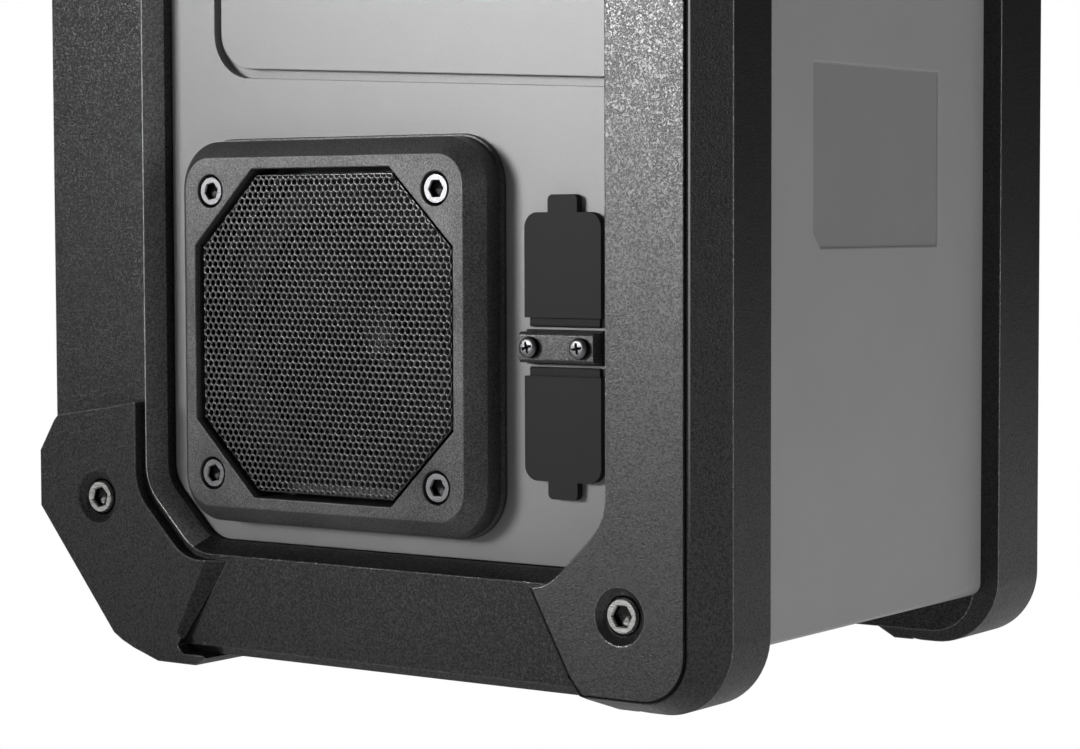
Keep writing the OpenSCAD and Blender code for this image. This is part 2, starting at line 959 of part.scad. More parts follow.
module front_bezel() {
    color("#5b5b5c")
        at_front()
            bezel(front_mid_x, front_bezel_z, front_bezel_w, front_bezel_h, front_bezel_t, -front_face_y,
                front_grille_w, front_grille_h, front_grille_cut, front_pitch_x, front_pitch_z);
}

module front_bezel_screws() {
    color("#2a2a2c")
        at_front()
            bezel_screws(front_mid_x, front_bezel_z, front_pitch_x, front_pitch_z,
                -front_face_y - front_bezel_t, front_bezel_t);
}

module front_grille() {
    color("#4c4c4e")
        at_front()
            grille(front_mid_x, front_bezel_z, front_grille_w - 2 * grille_gap,
                front_grille_h - 2 * grille_gap, front_grille_cut - 1,
                -front_face_y - front_bezel_t + grille_sink, -front_face_y);
}

module front_driver() {
    at_front()
        driver_place(front_mid_x, -front_back_y, front_bezel_z)
            children();
}

module front_basket() {
    color("#202022")
        front_driver()
            basket(front_driver_r, front_driver_depth);
}

module front_magnet() {
    color("#3c3c40")
        front_driver()
            magnet(front_driver_r, front_driver_depth);
}

module front_cone() {
    color("#1a1a1c")
        front_driver()
            speaker_cone(front_driver_r, front_driver_depth);
}

module front_surround() {
    color("#18181a")
        front_driver()
            surround(front_driver_r);
}

module front_panel() {
    color("#7f7f81")
        at_front()
            difference() {
                union() {
                    tray(-front_face_y, front_face_y - front_ring_y);
                    for (x = [-board_x + 4, board_x - 4], z = [board_z0 + 6, board_z1 - 8])
                        y_bar(front_mid_x + x, z, -front_back_y - 1, -board_y - board_t, 3.5);
                }
                y_bar(front_mid_x, front_bezel_z, -front_face_y - 1, -front_back_y + 1, front_driver_r - 4);
                bezel_screw_places(front_mid_x, front_bezel_z, front_pitch_x, front_pitch_z)
                    y_bar(0, 0, -front_face_y - 1, -front_back_y + 1, bezel_screw_d / 2 + fit);
                for (side = [-1, 1])
                    y_bar(front_mid_x + side * knob_x, knob_z, -front_face_y - 1, -front_back_y + 1, 4.3);
                for (i = [0:3])
                    translate([0, -front_face_y - 1, 0])
                        box([button_x(i) - button_w / 2 - button_gap, 0, knob_z - button_h / 2 - button_gap],
                            [button_x(i) + button_w / 2 + button_gap, panel_t + 2,
                             knob_z + button_h / 2 + button_gap]);
                box([front_mid_x - lens_w / 2 - 0.2, -front_face_y - 1, lens_z - lens_h / 2 - 0.2],
                    [front_mid_x + lens_w / 2 + 0.2, -front_back_y + 1, lens_z + lens_h / 2 + 0.2]);
            }
}

function button_x(i) = front_mid_x + (i - 1.5) * button_pitch;

module flap_strip() {
    h = clamp_h + 2 * hinge_rise - 2.8;
    color("#242425")
        difference() {
            box([port_x - flap_w / 2, rear_face_y - strip_t, clamp_z - h / 2],
                [port_x + flap_w / 2, rear_face_y, clamp_z + h / 2]);
            clamp_screw_places()
                y_bar(0, 0, rear_face_y - strip_t - 1, rear_face_y + 1, 1.55);
        }
}

module clamp_screw_places() {
    for (side = [-1, 1])
        translate([port_x + side * clamp_pitch / 2, 0, clamp_z])
            children();
}

module clamp_bar() {
    y0 = rear_face_y - strip_t - clamp_t;
    c = 0.8;
    color("#5a5a5b")
        difference() {
            side_slab(port_x - clamp_w / 2, clamp_w)
                polygon([
                    [y0 + clamp_t, clamp_z - clamp_h / 2], [y0 + c, clamp_z - clamp_h / 2],
                    [y0, clamp_z - clamp_h / 2 + c], [y0, clamp_z + clamp_h / 2 - c],
                    [y0 + c, clamp_z + clamp_h / 2], [y0 + clamp_t, clamp_z + clamp_h / 2]
                ]);
            clamp_screw_places()
                y_bar(0, 0, y0 - 1, rear_face_y, 1.55);
        }
}

module clamp_screws() {
    y0 = rear_face_y - strip_t - clamp_t - 2;
    color("#2a2a2c")
        clamp_screw_places()
            difference() {
                union() {
                    y_bar(0, 0, y0, y0 + 2, clamp_head_d / 2);
                    y_bar(0, 0, y0 + 2, rear_back_y + 4, 1.5);
                }
                for (turn = [0, 90])
                    rotate([0, turn, 0])
                        box([-1.7, y0 - 1, -0.35], [1.7, y0 + 1.2, 0.35]);
            }
}

// A port's flap above the clamp bar: a hinge bead, a web, the flap and its finger tab.
module flap_shape() {
    hinge_z = clamp_z + clamp_h / 2 + hinge_rise;
    z0 = hinge_z + flap_web;
    z1 = z0 + flap_h;
    y0 = rear_face_y - flap_t;
    x_bar(flap_hinge_y, hinge_z, port_x - flap_w / 2 + 1, port_x + flap_w / 2 - 1, strip_t / 2 - 0.05);
    box([port_x - flap_w / 2 + 1, flap_hinge_y - 0.6, hinge_z],
        [port_x + flap_w / 2 - 1, flap_hinge_y + 0.6, z0 + 1]);
    slab(y0, flap_t - 0.1) {
        translate([port_x - flap_w / 2, z0])
            square([flap_w, flap_h - flap_r]);
        translate([port_x - flap_w / 2 + flap_r, z0])
            square([flap_w - 2 * flap_r, flap_h]);
        for (side = [-1, 1])
            translate([port_x + side * (flap_w / 2 - flap_r), z1 - flap_r])
                circle(flap_r);
        translate([port_x - flap_tab_w / 2, z0])
            square([flap_tab_w, flap_h + flap_tab_h - 1.5]);
        translate([port_x - flap_tab_w / 2 + 1.5, z0])
            square([flap_tab_w - 3, flap_h + flap_tab_h]);
        for (side = [-1, 1])
            translate([port_x + side * (flap_tab_w / 2 - 1.5), z1 + flap_tab_h - 1.5])
                circle(1.5);
    }
}

module aux_flap() {
    color("#242425")
        flap_shape();
}

module dc_flap() {
    color("#242425")
        translate([0, 0, 2 * clamp_z])
            mirror([0, 0, 1])
                flap_shape();
}

module port_socket(z, bore_r) {
    difference() {
        union() {
            box([port_x - port_body / 2, rear_back_y, z - port_body / 2],
                [port_x + port_body / 2, rear_back_y + port_body_t, z + port_body / 2]);
            y_bar(port_x, z, rear_face_y + 0.3, rear_back_y + 1, port_collar_r);
        }
        y_bar(port_x, z, rear_face_y, rear_back_y + 11, bore_r);
    }
}

module aux_socket() {
    color("#1c1c1e")
        port_socket(clamp_z + port_bore_rise, 1.8);
}

module dc_socket() {
    z = clamp_z - port_bore_rise;
    color("#1c1c1e") {
        port_socket(z, 3.1);
        y_bar(port_x, z, rear_face_y + 2, rear_back_y + 12, 1);
    }
}

module battery_bay() {
    y0 = bay_y0;
    color("#2c2c2e") {
        difference() {
            box([bay_x0 - bay_wall, y0, bay_z0 - bay_wall],
                [bay_x1 + bay_wall, bay_y1 + bay_wall, bay_z1 + bay_wall]);
            box([bay_x0, y0 - 1, bay_z0], [bay_x1, bay_y1, bay_z1]);
        }
        for (y = [pack_y0 + 4, pack_y1 - 4 - rail_w]) {
            box([bay_x0, y, bay_z0], [bay_x1, y + rail_w, bay_z0 + rail_t]);
            box([bay_x0, y, bay_z1 - rail_t], [bay_x1, y + rail_w, bay_z1]);
        }
        for (z = [bay_z0 + 12, bay_z1 - 20])
            box([bay_x0, pack_y1 + pack_gap, z], [bay_x1, bay_y1, z + rail_w]);
    }
}

module battery_pack() {
    color("#29292b")
        difference() {
            box([pack_x0, pack_y0, pack_z - pack_w / 2], [pack_x0 + pack_l, pack_y1, pack_z + pack_w / 2]);
            for (z = contact_places())
                box([pack_x0 - 1, pack_y0 + 15, z - 2.3], [pack_x0 + contact_l + 1, pack_y1 - 15, z + 2.3]);
            box([pack_x0 + pack_l - 22.3, pack_y0 - 1, pack_z - 10.3],
                [pack_x0 + pack_l - 7.7, pack_y0 + 7, pack_z + 10.3]);
            box([pack_x0 - 1, pack_y0 - 1, pack_z + pack_w / 2 - 6],
                [pack_x0 + pack_l - 30, pack_y0 + 2, pack_z + pack_w / 2 + 1]);
        }
}

function contact_places() = [for (i = [-1:1]) pack_z + i * 14];

module battery_release() {
    color("#8f2f2a")
        box([pack_x0 + pack_l - 22, pack_y0 - 2.5, pack_z - 10],
            [pack_x0 + pack_l - 8, pack_y0 + 4.5, pack_z + 10]);
}

module battery_terminals() {
    color("#b08d4a") {
        box([bay_x0, pack_y0 + 8, pack_z - 24], [bay_x0 + contact_t, pack_y1 - 8, pack_z + 24]);
        for (z = contact_places())
            box([bay_x0 + contact_t, pack_y0 + 18, z - 0.6],
                [bay_x0 + contact_t + contact_l - 1, pack_y1 - 18, z + 0.6]);
    }
}

module battery_door() {
    color("#8a8a8c")
        difference() {
            union() {
                slab(rear_face_y, door_t)
                    door_outline(0);
                for (i = [1:2:knuckle_n - 1]) {
                    knuckle(i);
                    knuckle_arm(i, door_x1 - 1, door_axis_x, rear_face_y + door_t);
                }
            }
            door_pin_hole(door_pin_r + fit);
            box([door_x0 + 3.8, rear_face_y - 1, latch_z - 8.2],
                [door_x0 + 22.2, rear_face_y + 0.8, latch_z + 8.2]);
            box([door_x0 + 0.6, rear_face_y - 1, latch_z - 4.2],
                [door_x0 + 18, rear_face_y + door_t + 1, latch_z + 4.2]);
        }
}

module door_hinge_pin() {
    color("#b5b5b8")
        difference() {
            door_pin_hole(door_pin_r);
            box([0, rear_y, bay_z1 - 2.2], [half_w, 0, frame_h]);
            box([0, rear_y, 0], [half_w, 0, bay_z0 + 2.2]);
        }
}

// The latch's finger plate lies in the door's face. Its tongue passes through behind the panel's edge.
module door_latch() {
    color("#303033") {
        difference() {
            box([door_x0 + 8, rear_face_y - 0.6, latch_z - 8],
                [door_x0 + 22, rear_face_y + 0.7, latch_z + 8]);
            for (x = [11:2.5:19])
                box([door_x0 + x, rear_face_y - 1, latch_z - 6],
                    [door_x0 + x + 1.2, rear_face_y, latch_z + 6]);
        }
        box([door_x0 + 8, rear_face_y + 0.6, latch_z - 4], [door_x0 + 12, rear_back_y + 1.5, latch_z + 4]);
        box([door_x0 - door_gap + panel_gap, rear_back_y + 0.3, latch_z - 4],
            [door_x0 + 12, rear_back_y + 1.5, latch_z + 4]);
    }
}

module main_board() {
    z = housing_z0 + wall + 8.5;
    color("#2f5a3a")
        box([-board_x - 8, -52, z], [board_x + 8, 48, z + board_t]);
    color("#9a9a9c")
        box([-60, -40, z + board_t], [-10, -10, z + 14]);
    color("#25262a")
        for (x = [10, 28, 46])
            translate([x, -25, z + board_t])
                cylinder(h = 12, r = 7);
    color("#1c1c1e")
        box([10, 10, z + board_t], [40, 34, z + 4]);
}

module control_board() {
    x0 = front_mid_x - board_x;
    x1 = front_mid_x + board_x;
    color("#2f5a3a")
        difference() {
            union() {
                slab(board_y, board_t)
                    polygon([
                        [x0, board_z0], [x1, board_z0],
                        [x1, board_z1 - board_cut], [x1 - board_cut, board_z1],
                        [x0 + board_cut, board_z1], [x0, board_z1 - board_cut]
                    ]);
                for (side = [-1, 1]) {
                    x = front_mid_x + side * knob_x;
                    box([x - 7, board_y + board_t, knob_z - 7], [x + 7, front_back_y - 0.4, knob_z + 7]);
                    y_bar(x, knob_z, front_back_y - 1, front_face_y + 0.2, 4);
                }
                for (i = [0:3])
                    box([button_x(i) - 3, board_y + board_t, knob_z - 3],
                        [button_x(i) + 3, front_back_y - 2.5 - button_travel - 0.2, knob_z + 3]);
            }
            for (side = [-1, 1])
                y_bar(front_mid_x + side * knob_x, knob_z, board_y + board_t + 1,
                    front_face_y + 1, shaft_r + fit);
        }
}

module display_module() {
    color("#1d2a24")
        box([front_mid_x - lens_w / 2 + 2, board_y + board_t, lens_z - lens_h / 2 + 1],
            [front_mid_x + lens_w / 2 - 2, front_back_y - 2, lens_z + lens_h / 2 - 1]);
}

module display_lens() {
    color("#22262a") {
        box([front_mid_x - lens_w / 2, front_back_y - 1, lens_z - lens_h / 2],
            [front_mid_x + lens_w / 2, front_face_y + lens_proud, lens_z + lens_h / 2]);
        box([front_mid_x - lens_w / 2 - lens_rim, front_back_y - 2, lens_z - lens_h / 2 - lens_rim],
            [front_mid_x + lens_w / 2 + lens_rim, front_back_y, lens_z + lens_h / 2 + lens_rim]);
    }
}

// A knob on its shaft, with finger scallops and a pointer groove.
module knob(x) {
    y0 = front_face_y + knob_gap;
    difference() {
        union() {
            y_bar(x, knob_z, y0, y0 + knob_l, knob_d / 2);
            y_bar(x, knob_z, board_y + board_t + 1.5, y0 + 1, shaft_r);
        }
        for (a = [0:30:359])
            translate([x, 0, knob_z])
                rotate([0, a + 15, 0])
                    y_bar(knob_d / 2 + 1.2, 0, y0 + 3, y0 + knob_l + 1, 2.4);
        box([x - 0.8, y0 + knob_l - 0.6, knob_z + knob_d * 0.22],
            [x + 0.8, y0 + knob_l + 1, knob_z + knob_d]);
    }
}

module volume_knob() {
    color("#28282a")
        knob(front_mid_x - knob_x);
}

module tuning_knob() {
    color("#28282a")
        knob(front_mid_x + knob_x);
}

// A push button: its cap in the panel, its skirt behind it.
module push_button(i) {
    x = button_x(i);
    box([x - button_w / 2, front_back_y - 1, knob_z - button_h / 2],
        [x + button_w / 2, front_face_y + button_proud, knob_z + button_h / 2]);
    box([x - button_w / 2 - 1, front_back_y - 2.5, knob_z - button_h / 2 - 1],
        [x + button_w / 2 + 1, front_back_y, knob_z + button_h / 2 + 1]);
}

module preset_button_1() {
    color("#3a3a3c")
        push_button(0);
}

module preset_button_2() {
    color("#3a3a3c")
        push_button(1);
}

module preset_button_3() {
    color("#3a3a3c")
        push_button(2);
}

module mode_button() {
    color("#7a3a2a")
        push_button(3);
}

module handle_bail() {
    grip_y = handle_y + handle_arm;
    color("#303033")
        difference() {
            union() {
                for (side = [-1, 1])
                    translate([side * (arm_x0 + arm_t / 2) - arm_t / 2, 0, 0]) {
                        x_bar(handle_y, handle_z, 0, arm_t, arm_r);
                        x_bar(grip_y, handle_z, 0, arm_t, arm_r);
                        box([0, handle_y, handle_z - arm_r], [arm_t, grip_y, handle_z + arm_r]);
                    }
                x_bar(grip_y, handle_z, -arm_x0 - 1, arm_x0 + 1, bar_r);
            }
            x_bar(handle_y, handle_z, -arm_x1 - 1, arm_x1 + 1, handle_pin_d / 2 + fit);
        }
}

module handle_grip() {
    grip_y = handle_y + handle_arm;
    color("#1f1f20")
        difference() {
            x_bar(grip_y, handle_z, -grip_l / 2, grip_l / 2, grip_d / 2);
            x_bar(grip_y, handle_z, -grip_l / 2 - 1, grip_l / 2 + 1, bar_r);
        }
}

module handle_pins() {
    color("#b5b5b8")
        for (side = [-1, 1])
            x_bar(handle_y, handle_z, side > 0 ? arm_x0 : -well_x - 8, side > 0 ? well_x + 8 : -arm_x0,
                handle_pin_d / 2);
}

module antenna_base() {
    slot = 4.2;
    color("#303033")
        difference() {
            union() {
                translate([antenna_x, antenna_y, housing_z1])
                    cylinder(h = 3, r = 6);
                translate([antenna_x, antenna_y, housing_z1 - 7.5])
                    cylinder(h = 8, r = 2.5);
                intersection() {
                    translate([antenna_x, antenna_y, housing_z1])
                        cylinder(h = 20, r = 5.5);
                    y_bar(antenna_x, antenna_z, antenna_y - 6, antenna_y + 6, 4.2);
                }
                box([antenna_x - 3.5, antenna_y - 4, housing_z1 + 1],
                    [antenna_x + 3.5, antenna_y + 4, antenna_z]);
            }
            box([antenna_x - 8, antenna_y - slot / 2, housing_z1 + 3],
                [antenna_x + 8, antenna_y + slot / 2, frame_h]);
            y_bar(antenna_x, antenna_z, antenna_y - 8, antenna_y + 8, 1.25);
        }
}

module antenna_pin() {
    color("#c9c9cc")
        y_bar(antenna_x, antenna_z, antenna_y - 4, antenna_y + 4, 1.25);
}

module antenna_tube_1() {
    x0 = antenna_x + antenna_root;
    color("#c9c9cc")
        difference() {
            union() {
                x_bar(antenna_y, antenna_z, x0 - 4, x0 + antenna_l, antenna_d / 2);
                box([antenna_x, antenna_y - 1.95, antenna_z - 3], [x0, antenna_y + 1.95, antenna_z + 3]);
                y_bar(antenna_x, antenna_z, antenna_y - 1.95, antenna_y + 1.95, 3);
            }
            x_bar(antenna_y, antenna_z, x0, x0 + antenna_l + 1, antenna_d / 2 - tube_wall);
            y_bar(antenna_x, antenna_z, antenna_y - 3, antenna_y + 3, 1.25 + fit);
        }
}

module antenna_tube_2() {
    x0 = antenna_x + antenna_root;
    color("#d0d0d3")
        difference() {
            x_bar(antenna_y, antenna_z, x0 + 1, x0 + antenna_l + 1, tube_2_d / 2);
            x_bar(antenna_y, antenna_z, x0 + 2, x0 + antenna_l + 2, tube_2_d / 2 - tube_wall);
        }
}

module antenna_tube_3() {
    x0 = antenna_x + antenna_root;
    color("#d8d8da") {
        x_bar(antenna_y, antenna_z, x0 + 3, x0 + antenna_l + 2, tube_3_d / 2);
        x_bar(antenna_y, antenna_z, x0 + antenna_l + 2, x0 + antenna_l + 2 + tip_l, antenna_d / 2 - 0.3);
    }
}

rear_frame();
front_frame();
rear_side_guard();
front_side_guard();
rear_corner_guards();
front_corner_guards();
cage_screws();
rear_housing();
front_housing();
left_side_panel();
right_side_panel();
rear_panel();
front_panel();
rear_bezel();
rear_bezel_screws();
rear_grille();
rear_basket();
rear_magnet();
rear_cone();
rear_surround();
front_bezel();
front_bezel_screws();
front_grille();
front_basket();
front_magnet();
front_cone();
front_surround();
flap_strip();
clamp_bar();
clamp_screws();
aux_flap();
dc_flap();
aux_socket();
dc_socket();
battery_bay();
battery_pack();
battery_release();
battery_terminals();
battery_door();
door_hinge_pin();
door_latch();
main_board();
control_board();
display_module();
display_lens();
volume_knob();
tuning_knob();
preset_button_1();
preset_button_2();
preset_button_3();
mode_button();
handle_bail();
handle_grip();
handle_pins();
antenna_base();
antenna_pin();
antenna_tube_1();
antenna_tube_2();
antenna_tube_3();
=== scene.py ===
import json
import math

import bmesh
import bpy
from bpy.props import FloatProperty, FloatVectorProperty, PointerProperty
from mathutils import Matrix, Vector


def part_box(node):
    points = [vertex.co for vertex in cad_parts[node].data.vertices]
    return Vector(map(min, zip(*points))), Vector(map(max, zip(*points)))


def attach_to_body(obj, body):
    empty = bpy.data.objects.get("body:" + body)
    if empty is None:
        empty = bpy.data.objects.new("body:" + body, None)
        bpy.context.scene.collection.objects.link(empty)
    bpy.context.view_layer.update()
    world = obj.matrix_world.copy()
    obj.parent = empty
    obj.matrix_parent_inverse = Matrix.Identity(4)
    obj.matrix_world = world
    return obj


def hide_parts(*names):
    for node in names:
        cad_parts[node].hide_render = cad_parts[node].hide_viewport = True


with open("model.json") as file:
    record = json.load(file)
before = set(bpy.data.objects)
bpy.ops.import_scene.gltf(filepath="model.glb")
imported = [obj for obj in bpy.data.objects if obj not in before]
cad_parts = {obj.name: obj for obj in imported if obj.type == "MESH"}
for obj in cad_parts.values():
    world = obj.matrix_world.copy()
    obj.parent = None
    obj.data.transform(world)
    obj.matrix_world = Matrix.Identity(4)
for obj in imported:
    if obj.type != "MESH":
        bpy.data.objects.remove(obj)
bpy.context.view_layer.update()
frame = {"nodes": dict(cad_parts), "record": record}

bl_info = {
    "name": "Caged Radio",
    "version": (1, 0, 0),
    "blender": (4, 5, 0),
    "location": "View3D > Sidebar > Radio",
    "description": "Builds the visible pieces of a caged jobsite radio round its packed model",
    "category": "Object",
}

MM = 0.001


# ---------------- settings

def length(name, description, default_mm):
    """A length property, with its default given in millimetres."""
    return FloatProperty(name=name, description=description, default=default_mm * MM,
                         min=0.0, subtype="DISTANCE", unit="LENGTH")


def colour(name, description, *rgb):
    """A colour property; one number alone is a grey."""
    return FloatVectorProperty(name=name, description=description, subtype="COLOR", size=3,
                               min=0.0, max=1.0, default=rgb if len(rgb) == 3 else rgb * 3)


class RadioSizes(bpy.types.PropertyGroup):
    edge: length("Edge radius", "Rounding of the housing's and panels' edges", 0.45)
    guard_edge: length("Guard edge radius", "Rounding of the guards' edges", 0.9)
    small_edge: length("Small edge radius", "Rounding of small parts' edges", 0.2)
    hole_pitch: length("Hole pitch", "Distance between the grille's holes", 2.0)
    hole_width: length("Hole width", "Diameter of the grille's holes", 1.4)
    hole_rim: length("Hole rim", "Width of the rounded rim round each hole", 0.2)
    grille_border: length("Grille border", "Plain border of the grille inside its bend", 0.1)
    grille_bend: length("Grille bend", "Radius of the bend round the grille", 0.35)


class RadioColours(bpy.types.PropertyGroup):
    guard: colour("Guards", "Grained guards round the cage", 0.008)
    ring: colour("Rings", "Posts and bars of the cage", 0.009)
    shell: colour("Housing", "Moulded housing", 0.360)
    side: colour("Side panels", "Panels on the housing's sides", 0.360)
    panel: colour("Panels", "Rear and front panels and the battery door", 0.235)
    bezel: colour("Bezels", "Speaker bezels and the clamp bar", 0.045)
    grille: colour("Grilles", "Paint on the perforated grilles", 0.035)
    rubber: colour("Rubber", "Flaps, grip and knobs", 0.020)
    dark: colour("Dark plastic", "Inner and small dark parts", 0.020)
    accent: colour("Accent", "Power and release buttons", 0.36, 0.05, 0.03)


def sizes():
    return bpy.context.scene.radio_sizes


# ---------------- nodes

def step(operation, turned=False):
    """A method that joins a term and any other value by a Math node, in turned order if asked."""
    def method(term, *other):
        values = (*other, term) if turned else (term, *other)
        return add(term.socket.id_data, "ShaderNodeMath", *values, operation=operation)[0]
    return method


class Term:
    """An output socket that sums can be written with. Each step adds a Math node to the socket's tree."""

    def __init__(self, socket):
        self.socket = socket

    __add__, __radd__ = step("ADD"), step("ADD", True)
    __sub__, __rsub__ = step("SUBTRACT"), step("SUBTRACT", True)
    __mul__, __truediv__, __rtruediv__ = step("MULTIPLY"), step("DIVIDE"), step("DIVIDE", True)
    __pow__, __gt__, __mod__ = step("POWER"), step("GREATER_THAN"), step("FLOORED_MODULO")
    __abs__, __ceil__, __round__ = step("ABSOLUTE"), step("CEIL"), step("ROUND")
    at_least, at_most, remainder = step("MAXIMUM"), step("MINIMUM"), step("MODULO")


class Outputs:
    """A node's outputs as terms, by name or place."""

    def __init__(self, node):
        self.node = node

    def __getitem__(self, key):
        return Term(self.node.outputs[key])


def plug(tree, socket, value):
    """Links a term to the socket, or gives the socket its own value. None leaves it as it is."""
    if isinstance(value, Term):
        tree.links.new(value.socket, socket)
    elif value is not None:
        socket.default_value = value


def add(tree, kind, *inputs, **settings):
    """A new node: values for its first inputs, then its settings, or inputs by their names."""
    node = tree.nodes.new(kind)
    for key in [key for key in settings if hasattr(node, key)]:
        setattr(node, key, settings.pop(key))
    for place, value in enumerate(inputs):
        plug(tree, node.inputs[place], value)
    for key, value in settings.items():
        plug(tree, node.inputs[key.replace("_", " ")], value)
    return Outputs(node)


VECTOR, NUMBER, GEOMETRY = "NodeSocketVector", "NodeSocketFloat", "NodeSocketGeometry"
MATERIAL, TEMPLATE = "NodeSocketMaterial", "NodeSocketObject"


def node_group(name, inputs, outputs, kind="ShaderNodeTree"):
    """Makes a function that gives the named group, and fills it in the first time.

    Inputs are {name: default or socket type} and outputs {name: socket type}. The function below it gets
    the tree and its inputs, and returns a value for each output.
    """
    def wrap(fill):
        def group():
            if name in bpy.data.node_groups:
                return bpy.data.node_groups[name]
            tree = bpy.data.node_groups.new(name, kind)
            for label, given in inputs.items():
                own_type = given if isinstance(given, str) else VECTOR if isinstance(given, tuple) else NUMBER
                socket = tree.interface.new_socket(label, in_out="INPUT", socket_type=own_type)
                if own_type is not given:
                    socket.default_value = given
            for label, socket_type in outputs.items():
                tree.interface.new_socket(label, in_out="OUTPUT", socket_type=socket_type)
            source, sink = tree.nodes.new("NodeGroupInput"), tree.nodes.new("NodeGroupOutput")
            for label, value in fill(tree, Outputs(source)).items():
                plug(tree, sink.inputs[label], value)
            return tree
        return group
    return wrap


def use(tree, group, **values):
    return add(tree, "ShaderNodeGroup", node_tree=group(), **values)


def object_place(tree):
    return add(tree, "ShaderNodeTexCoord")["Object"]


def axes(tree, value):
    """A vector's three parts."""
    parts = add(tree, "ShaderNodeSeparateXYZ", value)
    return parts[0], parts[1], parts[2]


def vector(tree, **parts):
    return add(tree, "ShaderNodeCombineXYZ", **parts)[0]


def size_of(tree, value):
    return add(tree, "ShaderNodeVectorMath", value, operation="LENGTH")["Value"]


def bounded(tree, value):
    """The value held between 0 and 1."""
    return add(tree, "ShaderNodeClamp", Value=value)[0]


def ramp(tree, value, start, end, first=0.0, last=1.0, **settings):
    """The value drawn from start..end to first..last."""
    return add(tree, "ShaderNodeMapRange", Value=value, From_Min=start, From_Max=end, To_Min=first, To_Max=last,
               **settings)["Result"]


def line_share(tree, distance, width, share=1.0):
    """1 on a line with a share of the width and 0 beyond it, with soft sides."""
    return ramp(tree, distance, width * (0.25 * share), width * (0.6 * share), 1.0, 0.0,
                interpolation_type="SMOOTHSTEP")


# ---------------- shader effects

def bumped(tree, given, height):
    return add(tree, "ShaderNodeBump", Strength=1.0, Height=height, Distance=given["Depth"],
               Normal=given["Normal"])["Normal"]


@node_group("moulded_grain",
            {"Grain Size": 0.0003, "Depth": 0.00003, "Tone Spread": 0.1, "Normal": (0.0, 0.0, 1.0)},
            {"Normal": VECTOR, "Tone": NUMBER, "Gloss Shift": NUMBER})
def moulded_grain(tree, given):
    """Spark-eroded mould texture: a fine bump, and a slight unevenness of tone and gloss."""
    place = object_place(tree)
    fine = add(tree, "ShaderNodeTexNoise", Vector=place, Scale=1.0 / given["Grain Size"], Detail=3.0,
               Roughness=0.6)["Fac"]
    cloud = add(tree, "ShaderNodeTexNoise", Vector=place, Scale=38.0, Detail=4.0, Roughness=0.55)["Fac"] - 0.5
    speck = (fine - 0.5) * 2.2
    return {"Normal": bumped(tree, given, fine), "Tone": 1.0 + (cloud + speck) * given["Tone Spread"] * 2.0,
            "Gloss Shift": cloud * 0.12}


@node_group("leather_grain", {"Pebble Size": 0.0006, "Depth": 0.00006, "Normal": (0.0, 0.0, 1.0)},
            {"Normal": VECTOR, "Crease": NUMBER})
def leather_grain(tree, given):
    """Leather grain: short winding ridges of uneven height, parted by creases."""
    ridges = add(tree, "ShaderNodeTexNoise", Vector=object_place(tree), Scale=1.0 / given["Pebble Size"],
                 Detail=2.0, Roughness=0.5, Distortion=1.2)["Fac"]
    crease = ramp(tree, ridges, 0.62, 0.38, interpolation_type="SMOOTHSTEP")
    return {"Normal": bumped(tree, given, 1.0 - crease), "Crease": crease}


@node_group("outline_mask",
            {"Middle X": 0.0, "Middle Z": 0.1, "Half X": 0.1, "Half Z": 0.1, "Radius": 0.01,
             "Line Width": 0.0006, "Face Depth": 0.095},
            {"Line": NUMBER, "Lip": NUMBER})
def outline_mask(tree, given):
    """A mask along the right half of a rounded rectangle in the X-Z plane, on faces beyond the face depth.

    The lip is a painted highlight: a thinner line outside it, which fades towards the floor. The line marks where a
    groove's shade is painted.
    """
    x, y, z = axes(tree, object_place(tree))

    def past(value, axis):
        return abs(value - given["Middle " + axis]) - given["Half " + axis] + given["Radius"]

    across, up = past(x, "X"), past(z, "Z")
    outer = size_of(tree, vector(tree, X=across.at_least(0.0), Z=up.at_least(0.0)))
    distance = outer + across.at_least(up).at_most(0.0) - given["Radius"]
    deep = abs(y) > given["Face Depth"]
    right = x > given["Middle X"]

    def band(centre, share):
        return line_share(tree, abs(distance - centre), given["Line Width"], share) * deep * right

    # the painted lip highlight fades towards the floor
    rise = ramp(tree, z, 0.04, 0.15)
    return {"Line": band(0.0, 1.0), "Lip": band(given["Line Width"] * 0.8, 0.35) * rise}


@node_group("seam_mask",
            {"Start X": 0.0, "Start Z": 0.0, "End X": 0.0, "End Z": 0.01, "Line Width": 0.0006,
             "Face Depth": 0.09},
            {"Line": NUMBER})
def seam_mask(tree, given):
    """A mask along the line between two points in the X-Z plane, on faces beyond the face depth."""
    x, y, z = axes(tree, object_place(tree))
    run_x, run_z = given["End X"] - given["Start X"], given["End Z"] - given["Start Z"]
    off_x, off_z = x - given["Start X"], z - given["Start Z"]
    share = bounded(tree, (off_x * run_x + off_z * run_z) / (run_x * run_x + run_z * run_z))
    miss = size_of(tree, vector(tree, X=off_x - share * run_x, Z=off_z - share * run_z))
    return {"Line": line_share(tree, miss, given["Line Width"]) * (abs(y) > given["Face Depth"])}


@node_group("depth_mask", {"Along X": 0.0, "Along Y": 0.0, "Softness": 0.0001}, {"Sunk": NUMBER})
def depth_mask(tree, given):
    """A mask of what lies nearer the middle than a given distance along one axis."""
    x, y, _ = axes(tree, object_place(tree))
    under_x, under_y = (bounded(tree, (given[label] - abs(value)) / given["Softness"])
                        for label, value in (("Along X", x), ("Along Y", y)))
    return {"Sunk": under_x.at_least(under_y)}


